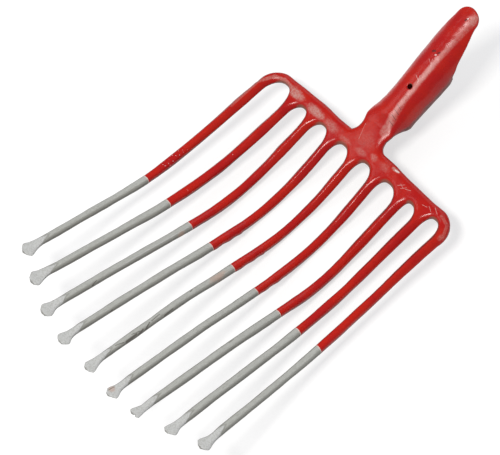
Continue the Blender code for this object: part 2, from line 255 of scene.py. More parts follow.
def distance_to_curves(points: Array, curves: list[Array]) -> Array:
    """Shortest distance from points of a flat chart to polylines.

    Each point is dropped square on every segment, kept between its ends, and the
    nearest drop counts.

    Args:
        points: chart points with two numbers last.
        curves: polylines, each an array of chart points.

    Returns:
        Distances in the shape of the points.
    """
    starts = np.concatenate([curve[:-1] for curve in curves])
    spans = np.concatenate([np.diff(curve, axis=0) for curve in curves])
    squares = np.maximum((spans**2).sum(axis=1), 1e-18)
    flat = points.reshape(-1, 2)
    nearest = np.full(len(flat), np.inf)
    for block in np.array_split(np.arange(len(starts)), max(1, len(starts) // 60)):
        away = flat[:, None, :] - starts[block]
        share = np.clip((away * spans[block]).sum(axis=-1) / squares[block], 0.0, 1.0)
        gap = away - share[..., None] * spans[block]
        nearest = np.minimum(nearest, (gap**2).sum(axis=-1).min(axis=1))
    return np.sqrt(nearest).reshape(points.shape[:-1])


def even_along(curve: Array, count: int) -> Array:
    """Points at even arc lengths along a polyline.

    Args:
        curve: dense polyline.
        count: number of intervals.

    Returns:
        count + 1 points, ends included.
    """
    run = np.concatenate([[0.0], np.cumsum(np.linalg.norm(np.diff(curve, axis=0), axis=1))])
    wanted = np.linspace(0.0, run[-1], count + 1)
    return np.stack([np.interp(wanted, run, places) for places in curve.T], axis=-1)


@dataclass(frozen=True)
class LevelFrame:
    """The frame the fork was drawn in: x across, y towards the handle, z up from the tine ends.

    The head's plane climbs backwards from the crossbar. The handle's seat is the origin of
    the part, which lies turned by the tilt about x.
    """

    lift: float = math.radians(37.0)
    outer_lift: float = math.radians(16.0)
    bar_height: float = 70.1 * MM
    half_spread: float = 146.4 * MM
    seat_distance: float = 50.0 * MM
    socket_drop: float = 13.2 * MM
    lean: float = 0.01
    lean_start: float = 26.0 * MM
    tilt: float = math.radians(-17.2)

    def axis_x(self, distance: Array | float) -> Array | float:
        """Place across of the socket's axis, which leans a little."""
        return self.lean * (distance - self.lean_start)

    def seat(self) -> Pair:
        """Level y and z of the handle's seat."""
        sine, cosine = math.sin(self.lift), math.cos(self.lift)
        back = self.seat_distance * cosine + self.socket_drop * sine
        return back, self.bar_height + self.seat_distance * sine - self.socket_drop * cosine

    def to_row(self, points: Array) -> Array:
        """Move level points so that the seat is the origin, then turn them by the tilt about x."""
        back, high = self.seat()
        x = points[..., 0] - self.axis_x(self.seat_distance)
        y, z = points[..., 1] - back, points[..., 2] - high
        sine, cosine = math.sin(self.tilt), math.cos(self.tilt)
        return np.stack([x, cosine * y - sine * z, sine * y + cosine * z], axis=-1)

    def forward(self, points: Array) -> Array:
        """Level distance forward of the crossbar's middle, for points of the row frame."""
        sine, cosine = math.sin(self.tilt), math.cos(self.tilt)
        return -(cosine * points[..., 1] + sine * points[..., 2] + self.seat()[0])

    def from_head(self, across: Array, distance: Array, rise: Array) -> Array:
        """Level points from a place across, a distance up the head's plane and a rise."""
        sine, cosine = math.sin(self.lift), math.cos(self.lift)
        back = distance * cosine - rise * sine
        return np.stack([across, back, self.bar_height + distance * sine + rise * cosine], axis=-1)

    def turn(self, x: Array) -> Array:
        """Angle of the head's plane at a place across: steep in the middle, flatter outside."""
        outward = np.minimum(np.abs(x) / self.half_spread, 1.0) ** 2
        return np.arctan(mix(math.tan(self.lift), math.tan(self.outer_lift), outward))


@dataclass(frozen=True)
class Fan:
    """Flattened end of a tine, in millimetres.

    left and right are the half widths of the fan, begin_left and begin_right its length on
    each side, ahead how far its tip passes the nominal length, and edge the setbacks of the
    end at five even places from left to right.
    """

    left: float
    right: float
    begin_left: float
    begin_right: float
    ahead: float
    edge: Row
    notch: float = 0.0


@dataclass(frozen=True)
class TineForm:
    """One drawn tine, hand-forged: its place, its bend, its girth and its flattened end.

    root and tip are in pitches from the middle, bow in root pitches, and reach is the share
    of the middle tine's length at which the tine lies level. wander and girth hold its
    sideways strays and what is added to its half width, in millimetres at even places from
    root to tip, and sag is the thickness of the paint that ran to its lower edge.
    """

    number: int
    root: float
    tip: float
    bow: float
    reach: float
    fan: Fan
    wander: Row
    girth: Row
    sag: float = 0.0

    root_pitch: float = 35.7 * MM
    tip_pitch: float = 39.0 * MM
    longest: float = 383.0 * MM
    shortfall: float = 36.0 * MM
    shortfall_power: float = 2.3
    bar_rise: float = 64.2 * MM
    weld: float = 28.0 * MM
    root_half: Pair = (6.3 * MM, 5.9 * MM)
    shank_half: Pair = (4.9 * MM, 5.0 * MM)
    shank_ease: float = 90.0 * MM
    drawn_half: Pair = (4.65 * MM, 4.4 * MM)
    drawn_from: float = 120.0 * MM
    drawn_ease: float = 110.0 * MM
    girth_ease: float = 30.0 * MM
    root_power: float = 1.45
    drawn_power: float = 2.5
    power_from: float = 60.0 * MM
    power_ease: float = 100.0 * MM
    end_half_thickness: float = 1.6 * MM
    end_from: float = 27.0 * MM
    end_round: float = 1.3 * MM
    flat_at: Row = (0.0, 12.0, 34.0, 44.0)
    flat_height: Row = (1.2, 2.2, 7.4, 14.0)
    flat_power: float = 2.6
    flat_fillet: float = 0.35 * MM
    fan_zone: float = 40.0 * MM
    edge_run: float = 16.0 * MM
    notch_at: float = 0.6
    notch_width: float = 0.9
    rim_rings: int = 6
    paint_line: float = 185.0 * MM
    sag_run: float = 42.0 * MM
    ring: int = 48
    ring_pitch: float = 1.6 * MM
    fan_rings: int = 72

    @property
    def root_x(self) -> float:
        """Place across at the crossbar."""
        return self.root * self.root_pitch + self.wander[0] * MM

    @property
    def length(self) -> float:
        """Nominal length along the ground, shorter towards the outer tines."""
        outward = abs(round(self.root)) / 4.0
        return self.longest - self.shortfall * outward**self.shortfall_power

    @property
    def end(self) -> float:
        """Distance forward of the fan's tip."""
        return self.length + self.fan.ahead * MM

    def path_x(self, forward: Array) -> Array:
        """Place of the axis across: a line from root to tip, a bow and a small wander."""
        share = forward / self.length
        bow = self.bow * self.root_pitch * np.sin(np.pi * share)
        line = mix(self.root * self.root_pitch, self.tip * self.tip_pitch, share)
        return line + bow + through(self.wander, share) * MM

    def underside(self, forward: Array, level: LevelFrame) -> Array:
        """Height of the underside: a cubic from the head's slope to level ground."""
        reach = self.reach * self.longest
        share = np.minimum(forward / reach, 1.0)
        slope = math.tan(float(level.turn(np.array(self.root * self.root_pitch))))
        fall = 2.0 * share**3 - 3.0 * share**2 + 1.0
        lead = share**3 - 2.0 * share**2 + share
        return self.bar_rise * fall - slope * reach * lead

    def lean(self, forward: Array, level: LevelFrame) -> Array:
        """Slope of the underside, from a small step each way."""
        ahead, behind = (self.underside(forward + step, level) for step in (STEP, -STEP))
        return (ahead - behind) / (2.0 * STEP)

    def shaft(self, forward: Array) -> tuple[Array, Array, Array]:
        """Half width, half height and power of the unflattened section along the tine."""
        shank = smoothstep((forward - self.weld) / self.shank_ease)
        drawn = smoothstep((forward - self.drawn_from) / self.drawn_ease)
        girth = through(self.girth, forward / self.length) * MM
        girth = girth * smoothstep((forward - self.weld) / self.girth_ease)
        wide = mix(mix(self.root_half[0], self.shank_half[0], shank), self.drawn_half[0], drawn)
        high = mix(mix(self.root_half[1], self.shank_half[1], shank), self.drawn_half[1], drawn)
        squarer = smoothstep((forward - self.power_from) / self.power_ease)
        return wide + girth, high + 0.6 * girth, mix(self.root_power, self.drawn_power, squarer)

    def axis_height(self, forward: Array, level: LevelFrame) -> Array:
        """Height of the axis over level ground."""
        left = self.length - forward
        flat = smoothstep((1.0 - left / self.end_from) / 0.6)
        high = mix(self.shaft(forward)[1], self.end_half_thickness, flat)
        return self.underside(forward, level) + 0.5 * (high + np.maximum(high, self.drawn_half[1]))

    def stations(self) -> Array:
        """Distances forward of the rings: coarse on the shaft and fine over the fan."""
        begin, fan_start = self.weld - OVERLAP, self.end - self.fan_zone
        hidden = np.linspace(begin, self.weld, HIDDEN_RINGS)[:-1]
        shaft = np.linspace(self.weld, fan_start, round((fan_start - begin) / self.ring_pitch))
        fan = np.linspace(fan_start, self.end - self.end_round, self.fan_rings)[1:]
        return np.concatenate([hidden, shaft, fan])

    def side_widths(self, forward: Array) -> tuple[Array, Array]:
        """Half widths to the left and right of the axis, flared over the fan.

        The flare begins slowly and runs nearly straight to the fan's corners: a power of
        the share of its length, with a little of a smooth step.
        """
        wide = self.shaft(forward)[0]
        to_tip = (self.end - forward) / MM
        fan, straight, corner = self.fan, 1.2, 2.5
        sides = []
        for half, begin in ((fan.left, fan.begin_left), (fan.right, fan.begin_right)):
            share = np.clip(1.0 - (to_tip - corner) / (straight * begin - corner), 0.0, 1.0)
            sides.append(mix(wide, half * MM, mix(share**1.4, smoothstep(share), 0.3)))
        return sides[0], sides[1]

    def section(self, forward: Array, share: Array) -> Array:
        """Height of the rings over their axis.

        A ring is a superellipse, cut down over the fan by a flat whose height climbs with
        the distance from the tip. A small fillet rounds the line where the two meet.

        Args:
            forward: distances of the rings.
            share: place across of each point of a ring, from -1 to 1.

        Returns:
            Heights, rings first.
        """
        _, high, power = self.shaft(forward)
        to_tip = (self.end - forward) / MM
        inward = 1.0 - np.abs(share)
        shaft = rim_profile(inward, power[:, None]) * high[:, None]
        climb = np.interp(to_tip, self.flat_at, self.flat_height) * MM
        flat = 0.5 * (self.end_half_thickness + climb)
        plane = np.minimum(flat, 2.0 * high)[:, None] * rim_profile(inward, self.flat_power)
        blend = np.clip(0.5 + 0.5 * (plane - shaft) / self.flat_fillet, 0.0, 1.0)
        fillet = self.flat_fillet * blend * (1.0 - blend)
        near = smoothstep(1.0 - to_tip * MM / self.fan_zone)[:, None]
        return np.maximum(mix(plane, shaft, blend) - fillet * near, 0.0)

    def drawn_back(self, forward: Array, across: Array, half: Array) -> Array:
        """How far each point near the tip is drawn back by the fan's uneven edge and notch.

        Args:
            forward: distances of the rings.
            across: places across the axis.
            half: half widths on each point's side.

        Returns:
            Setbacks, rings first.
        """
        setback = np.interp(across / half * 2.0 + 2.0, np.arange(5), self.fan.edge) * MM
        notch = np.exp(-(((across / MM - self.notch_at) / self.notch_width) ** 2))
        setback += self.fan.notch * MM * notch
        return setback * smoothstep(1.0 - (self.end - forward) / self.edge_run)[:, None]

    def surface(self, level: LevelFrame) -> Array:
        """Points of the tine as rings carried square to its path.

        The last rings close the tip with a quarter circle.

        Args:
            level: the frame the fork is drawn in.

        Returns:
            Grid of level points, rings first.
        """
        forward = self.stations()
        rim = np.linspace(0.0, 0.5 * np.pi, self.rim_rings + 1)[1:]
        closing = np.concatenate([np.ones(len(forward)), np.cos(rim)])
        last = self.end - self.end_round + self.end_round * np.sin(rim)
        forward = np.concatenate([forward, last])
        angle = np.linspace(0.0, 2.0 * np.pi, self.ring + 1)
        share, side = np.cos(angle)[None, :], np.sin(angle)[None, :]
        left, right = self.side_widths(forward)
        half = np.where(share > 0.0, right[:, None], left[:, None])
        across = share * half
        up = self.section(forward, share) * np.sign(np.round(side, 9)) * closing[:, None]
        hidden = np.clip((self.weld - forward) / OVERLAP, 0.0, 1.0)
        start = (1.0 - STUB_SHRINK * hidden**2)[:, None]
        back = self.drawn_back(forward, across, half)
        across, up = self.add_sag(forward, across * start, up * start, angle)
        return self.carry(forward, across, up, back, level)

    def add_sag(
        self, forward: Array, across: Array, up: Array, angle: Array
    ) -> tuple[Array, Array]:
        """Thicken the red paint on the lower right edge before the paint line.

        Args:
            forward: distances of the rings.
            across: places across the axis.
            up: heights over the axis.
            angle: angle of each point of a ring.

        Returns:
            The moved places and heights.
        """
        run = smoothstep((forward - self.paint_line + self.sag_run) / (4.0 * MM))
        waves = 0.6 + 0.4 * np.sin(forward / MM * 0.37 + self.number)
        run = run * (forward < self.paint_line) * waves
        edges = (1.92 * np.pi, -0.08 * np.pi)
        lower = sum(np.exp(-(((angle - edge) / 0.55) ** 2)) for edge in edges)
        swell = self.sag * MM * run[:, None] * lower[None, :]
        return across + swell * 0.9, up - swell * 0.5

    def carry(
        self, forward: Array, across: Array, up: Array, back: Array, level: LevelFrame
    ) -> Array:
        """Place ring points square to the path.

        The path's direction comes from small steps along it, its level side is square to
        that, and its upper side is square to both.

        Args:
            forward: distances of the rings.
            across: places across the axis.
            up: heights over the axis.
            back: how far each point is drawn back along the path.
            level: the frame the fork is drawn in.

        Returns:
            Grid of level points.
        """
        drift = (self.path_x(forward + STEP) - self.path_x(forward - STEP)) / (2.0 * STEP)
        path = np.stack([drift, -np.ones_like(drift), self.lean(forward, level)], axis=-1)
        path /= np.linalg.norm(path, axis=-1, keepdims=True)
        sideways = np.stack([-path[:, 1], path[:, 0], np.zeros(len(path))], axis=-1)
        sideways /= np.linalg.norm(sideways, axis=-1, keepdims=True)
        upward = np.cross(sideways, path)
        upward *= np.sign(upward[:, 2:3])
        height = self.axis_height(forward, level)
        centre = np.stack([self.path_x(forward), -forward, height], axis=-1)
        return (
            centre[:, None, :]
            + across[..., None] * sideways[:, None, :]
            + up[..., None] * upward[:, None, :]
            - back[..., None] * path[:, None, :]
        )

    def mark_tip(self, mesh: bpy.types.Mesh, level: LevelFrame) -> None:
        """Store each point's distance behind the tip and its place on the flat.

        Both are in millimetres. The flat runs up the tine in a V, so that each half width
        aside counts as 12 mm more.

        Args:
            mesh: the tine's mesh in the row frame.
            level: the frame the fork is drawn in.
        """
        points = np.empty(3 * len(mesh.vertices))
        mesh.vertices.foreach_get("co", points)
        points = points.reshape(-1, 3)
        forward = level.forward(points)
        distance = (self.end - forward) / MM
        aside = np.abs(points[:, 0] + level.axis_x(level.seat_distance) - self.path_x(forward))
        slant = 12.0 * aside / self.drawn_half[0] * smoothstep((distance - 12.0) / 10.0)
        for name, values in ((TIP_ATTRIBUTE, distance), (FACE_ATTRIBUTE, distance + slant)):
            mesh.attributes.new(name, "FLOAT", "POINT").data.foreach_set("value", values)

    def build(self, level: LevelFrame, finish: bpy.types.Material) -> bpy.types.Object:
        """Make the tine's piece and dress it.

        Args:
            level: the frame the fork is drawn in.
            finish: material of the tines.

        Returns:
            The piece.
        """
        shell = Shell(f"tine_{self.number}_painted")
        grid = level.to_row(self.surface(level))
        shell.add_grid(grid)
        shell.close(grid[0])
        piece = shell.build()
        self.mark_tip(piece.data, level)
        fasten(piece, finish, Slot.TINE, f"tine_{self.number}")
        return piece


@dataclass(frozen=True)
class Neck:
    """What the crossbar's neck and the socket's foot share, so that they meet flush.

    left and right are the half widths on each side of the middle, in millimetres at even
    distances up the head's plane from start to end.
    """

    start: float = 14.0 * MM
    end: float = 46.0 * MM
    left: Row = (20.6, 20.4, 20.9, 22.1, 23.5, 24.5, 25.3, 25.6, 25.2)
    right: Row = (18.8, 18.2, 19.1, 20.0, 19.9, 19.6, 19.6, 20.4, 21.0)
    weld: float = 26.0 * MM
    power: float = 2.8
    half_thickness: float = 5.0 * MM

    def half(self, values: Row, distance: Array) -> Array:
        """Half width on one side at distances up the head's plane."""
        return through(values, (distance - self.start) / (self.end - self.start)) * MM


@dataclass(frozen=True)
class Arch:
    """Gap between two tines: its crown's distance forward of the bar's middle, and stray."""

    depth: float
    shift: float


@dataclass(frozen=True)
class Crossbar:
    """Forged bar with its stubs and the flat neck, a rounded plate over a flat chart.

    A chart point is a place across and a run forward down the plate, so that distances in
    the chart are distances on the plate. back holds the height of the bar's back edge at
    even places from end to end.
    """

    level: LevelFrame
    tines: tuple[TineForm, ...]
    arches: tuple[Arch, ...]
    neck: Neck
    back: Row = (3.8, 4.8, 5.9, 4.9, 6.3, 6.6, 4.6, 3.2, 3.9)
    back_span: float = 140.0 * MM
    arch_power: float = 2.5
    corner_radius: float = 26.0 * MM
    half_thickness: float = 5.2 * MM
    rounding: float = 7.8 * MM
    rim_power: float = 2.3
    neck_tines: tuple[int, int] = (3, 5)
    neck_from: float = -26.0 * MM
    neck_to: float = 28.0 * MM
    neck_form_from: float = 5.0 * MM
    neck_form_ease: float = 21.0 * MM
    stub_from: float = 8.0 * MM
    stub_turn_ease: float = 20.0 * MM
    stub_form_ease: float = 18.0 * MM
    fillet: float = 9.0 * MM
    fillet_rows: float = 0.6
    settle_rows: float = 0.3
    tine_columns: int = 18
    gap_columns: int = 34
    rows: int = 54
    neck_rows: int = 40

    def cosine(self, x: Array) -> Array:
        """Cosine of the plate's slope, which turns a run on the plate to a level one."""
        return np.cos(self.level.turn(x))

    def half(self) -> Pair:
        """Half width and half height of the stubs."""
        return self.tines[0].root_half

    def back_edge(self, x: Array) -> Array:
        """Chart run of the bar's back edge, which falls as a quarter circle at each end."""
        wide = self.half()[0]
        edge = np.where(x < 0.0, -self.tines[0].root_x, self.tines[-1].root_x) + wide
        over = np.clip(np.abs(x) - (edge - self.corner_radius), 0.0, self.corner_radius)
        fall = self.corner_radius - np.sqrt(self.corner_radius**2 - over**2)
        share = 0.5 + 0.5 * x / self.back_span
        return fall / self.cosine(x) - through(self.back, share) * MM

    def stub_side(self, tine: TineForm, sign: float) -> Array:
        """Side of a stub from the weld to its hidden end, as level x and forward run."""
        run = np.linspace(0.0, 1.0, HIDDEN_RINGS)
        forward = tine.weld + run * OVERLAP
        x = tine.path_x(forward) + sign * self.half()[0] * (1.0 - STUB_SHRINK * run**2)
        return np.stack([x, forward], axis=-1)

    def arch(self, left: TineForm, right: TineForm) -> Array:
        """Edge of the gap between two tines: an upright half superellipse, as a polyline."""
        first, last = self.stub_side(left, 1.0), self.stub_side(right, -1.0)
        form = self.arches[left.number - 1]
        start, end = first[0, 0], last[0, 0]
        angle = np.linspace(0.0, np.pi, 400)
        sine = np.clip(np.sin(angle), 0.0, 1.0)
        sideways = np.sign(np.cos(angle)) * np.abs(np.cos(angle)) ** (2.0 / self.arch_power)
        x = 0.5 * (start + end) - 0.5 * (end - start) * sideways
        x = x + form.shift * MM * sine**2
        depth = left.weld - form.depth * MM
        curve = np.stack([x, left.weld - depth * sine ** (2.0 / self.arch_power)], axis=-1)
        curve = np.concatenate([first[:0:-1], curve, last[1:]])
        return np.stack([curve[:, 0], curve[:, 1] / self.cosine(curve[:, 0])], axis=-1)

    def columns(self) -> tuple[Array, Array, tuple[int, int]]:
        """Front and back points of the chart's columns.

        A stub's columns end across its weld and a gap's columns end round its arch.

        Returns:
            Front points, places across of the back points, and the first and last column
            that runs on into the neck.
        """
        fronts, backs, marks = [], [], []
        wide = self.half()[0]
        for index, tine in enumerate(self.tines):
            spread = crowded(self.tine_columns)
            start, end = (self.stub_side(tine, sign)[-1] for sign in (-1.0, 1.0))
            side = mix(start, end, spread[:, None])
            marks.append(len(np.concatenate(fronts)) if fronts else 0)
            fronts.append(np.stack([side[:, 0], side[:, 1] / self.cosine(side[:, 0])], axis=-1))
            backs.append(tine.root_x + (2.0 * spread - 1.0) * wide)
            if index + 1 < len(self.tines):
                after = self.tines[index + 1]
                curve = even_along(self.arch(tine, after), self.gap_columns)[1:-1]
                fronts.append(curve)
                edge = (tine.root_x + wide, after.root_x - wide)
                backs.append(np.linspace(*edge, self.gap_columns + 1)[1:-1])
        front, back = np.concatenate(fronts), np.concatenate(backs)
        outer, last = (marks[index] for index in self.neck_tines)
        first, over = outer + self.tine_columns, last + self.tine_columns
        spread = crowded(self.tine_columns)
        back[outer:first + 1] = mix(back[outer], self.neck_from, spread)
        back[last:over + 1] = mix(self.neck_to, back[over], spread)
        back[first:last + 1] = mix(self.neck_from, self.neck_to, crowded(last - first, 0.9))
        return front, back, (first, last)

    def bar_chart(self, front: Array, back: Array) -> Array:
        """Chart points of the bar: columns from back to front, kept out of the gaps."""
        start = np.stack([back, self.back_edge(back)], axis=-1)
        share = crowded(self.rows)[:, None, None]
        chart = mix(start[None], front[None], share)
        for pair in zip(self.tines, self.tines[1:]):
            self.keep_out(chart, self.arch(*pair))
        return chart

    def keep_out(self, chart: Array, arch: Array) -> None:
        """Move points that lie in a gap sideways onto the nearer leg of its arch.

        Args:
            chart: the bar's chart points, which are changed in place.
            arch: the gap's edge, from its left leg over the crown to its right one.
        """
        crown = int(np.argmin(arch[:, 1]))
        x, run = chart[..., 0], chart[..., 1]
        left = np.interp(run, arch[crown::-1, 1], arch[crown::-1, 0])
        right = np.interp(run, arch[crown:, 1], arch[crown:, 0])
        inside = (run > arch[crown, 1]) & (x > left) & (x < right)
        chart[..., 0] = np.where(inside, np.where(x - left < right - x, left, right), x)

    def neck_side(self, values: Row, start: float, base: float, run: Array) -> Array:
        """Half width of the neck: its flank, with an elliptic fillet at the bar.

        Args:
            values: half widths of the flank.
            start: half width at the bar's back edge.
            base: distance of the back edge up the head's plane.
            run: distances up the head's plane.

        Returns:
            Half widths.
        """
        flank = self.neck.half(values, run)
        share = np.clip((run - base) / self.fillet, 0.0, 1.0)
        hidden = np.clip((run - self.neck.weld) / OVERLAP, 0.0, 1.0)
        fillet = (start - flank) * (1.0 - np.sqrt(1.0 - (1.0 - share) ** 2))
        return (flank + fillet) * (1.0 - 0.5 * NECK_SHRINK * hidden**2)

    def neck_chart(self, back: Array, span: tuple[int, int]) -> tuple[Array, Array]:
        """Chart points of the neck: the bar's back points carried up between its two sides.

        Args:
            back: places across of the columns' back points.
            span: first and last column of the neck.

        Returns:
            The points, and the share of the half width at which each lies.
        """
        x = back[span[0]:span[1] + 1]
        base = -self.back_edge(x)
        row = np.linspace(0.0, 1.0, self.neck_rows + 1)
        lead = 1.0 - np.cos(0.5 * np.pi * np.clip(row / self.fillet_rows, 0.0, 1.0))
        rest = np.clip((row - self.fillet_rows) / (1.0 - self.fillet_rows), 0.0, 1.0)
        low = float(base.max())
        end = self.neck.weld + OVERLAP
        run = low + self.fillet * lead + (end - low - self.fillet) * rest
        left = self.neck_side(self.neck.left, abs(x[0]), low, run)
        right = self.neck_side(self.neck.right, abs(x[-1]), low, run)
        share = np.where(x < 0.0, x / abs(x[0]), x / abs(x[-1]))
        across = share[None] * np.where(share[None] < 0.0, left[:, None], right[:, None])
        climb = mix(base[None] - low, 0.0, smoothstep(row / self.settle_rows)[:, None])
        chart = np.stack([across, -(run[:, None] + climb)], axis=-1)
        return chart, np.broadcast_to(np.abs(share), across.shape)

    def outline(
        self, front: Array, back: Array, span: tuple[int, int], neck: Array
    ) -> list[Array]:
        """Curves of the chart where the plate has a free rim.

        Args:
            front: front points of the bar's columns.
            back: places across of their back points.
            span: first and last column of the neck.
            neck: the neck's chart points.

        Returns:
            Polylines.
        """
        curves = [self.arch(*pair) for pair in zip(self.tines, self.tines[1:])]
        edge = np.stack([back, self.back_edge(back)], axis=-1)
        curves += [edge[: span[0] + 1], edge[span[1]:]]
        curves += [neck[:, 0], neck[:, -1]]
        curves += [np.stack([edge[0], front[0]]), np.stack([edge[-1], front[-1]])]
        return curves

    def middle(self, chart: Array) -> tuple[Array, Array]:
        """Level points of the plate's middle layer and their unit upward directions.

        The layer is the head's plane, which turns into the tines' own paths over the stubs.
        Between two tines it is blended across the gap.

        Args:
            chart: chart points.

        Returns:
            Points and directions.
        """
        x = chart[..., 0]
        inside = smoothstep((chart[..., 1] + self.neck.weld) / self.stub_turn_ease)
        turn = mix(self.level.lift, self.level.turn(x), inside)
        forward = chart[..., 1] * np.cos(turn)
        high = self.level.bar_height - chart[..., 1] * np.sin(turn)
        roots = np.array([tine.root_x for tine in self.tines])
        ahead = np.maximum(forward, 0.0)
        heights = np.stack([tine.axis_height(ahead, self.level) for tine in self.tines])
        leans = np.stack([tine.lean(ahead, self.level) for tine in self.tines])
        left = np.clip(np.searchsorted(roots, x) - 1, 0, len(roots) - 2)
        gap = roots[left + 1] - roots[left]
        wide = self.half()[0]
        share = np.clip((x - roots[left] - wide) / (gap - 2.0 * wide), 0.0, 1.0)
        stub = smoothstep((forward - self.stub_from) / self.stub_turn_ease)
        tine_high, tine_lean = (
            mix(
                np.take_along_axis(values, left[None], axis=0)[0],
                np.take_along_axis(values, left[None] + 1, axis=0)[0],
                share,
            )
            for values in (heights, leans)
        )
        high = mix(high, tine_high, stub)
        lean = mix(-np.tan(turn), tine_lean, stub)
        upward = np.stack([np.zeros_like(lean), lean, np.ones_like(lean)], axis=-1)
        upward /= np.linalg.norm(upward, axis=-1, keepdims=True)
        return np.stack([x, -forward, high], axis=-1), upward

    def half_height(self, chart: Array, inward: Array, aside: Array) -> Array:
        """Half thickness of the plate: a rounded rim, a diamond over the stubs, a full neck.

        Args:
            chart: chart points.
            inward: distances from the rim.
            aside: share of the neck's half width at which each point lies.

        Returns:
            Half thicknesses.
        """
        forward = chart[..., 1] * self.cosine(chart[..., 0])
        stub = smoothstep((forward - self.stub_from) / self.stub_form_ease)
        neck = smoothstep((-chart[..., 1] - self.neck_form_from) / self.neck_form_ease)
        wide, tall = self.half()
        depth = mix(inward / mix(self.rounding, wide, stub), 1.0 - aside, neck)
        power = mix(mix(self.rim_power, self.tines[0].root_power, stub), self.neck.power, neck)
        high = mix(mix(self.half_thickness, tall, stub), self.neck.half_thickness, neck)
        past_stub = np.clip((forward - self.tines[0].weld) / OVERLAP, 0.0, 1.0)
        past_neck = np.clip((-chart[..., 1] - self.neck.weld) / OVERLAP, 0.0, 1.0)
        hidden = 1.0 - STUB_SHRINK * past_stub**2 - NECK_SHRINK * past_neck**2
        return high * rim_profile(depth, power) * hidden

    def build(self, finish: bpy.types.Material) -> bpy.types.Object:
        """Make the crossbar's piece and dress it.

        Args:
            finish: material of the red enamel.

        Returns:
            The piece.
        """
        front, back, span = self.columns()
        bar = self.bar_chart(front, back)
        neck, aside = self.neck_chart(back, span)
        neck[0] = bar[0, span[0]:span[1] + 1]
        curves = self.outline(front, back, span, neck)
        shell = Shell("crossbar_enamelled")
        for chart, share in ((bar, np.zeros(bar.shape[:2])), (neck, aside)):
            inward = distance_to_curves(chart, curves)
            inward[inward < ON_RIM] = 0.0
            points, upward = self.middle(chart)
            half = self.half_height(chart, inward, share)[..., None]
            top = self.level.to_row(points + upward * half)
            bottom = self.level.to_row(points - upward * half)
            shell.add_grid(top)
            shell.add_grid(bottom)
            shell.add_grid(np.stack([top[-1], bottom[-1]]))
        piece = shell.build()
        fasten(piece, finish, Slot.ENAMEL, "crossbar")
        return piece


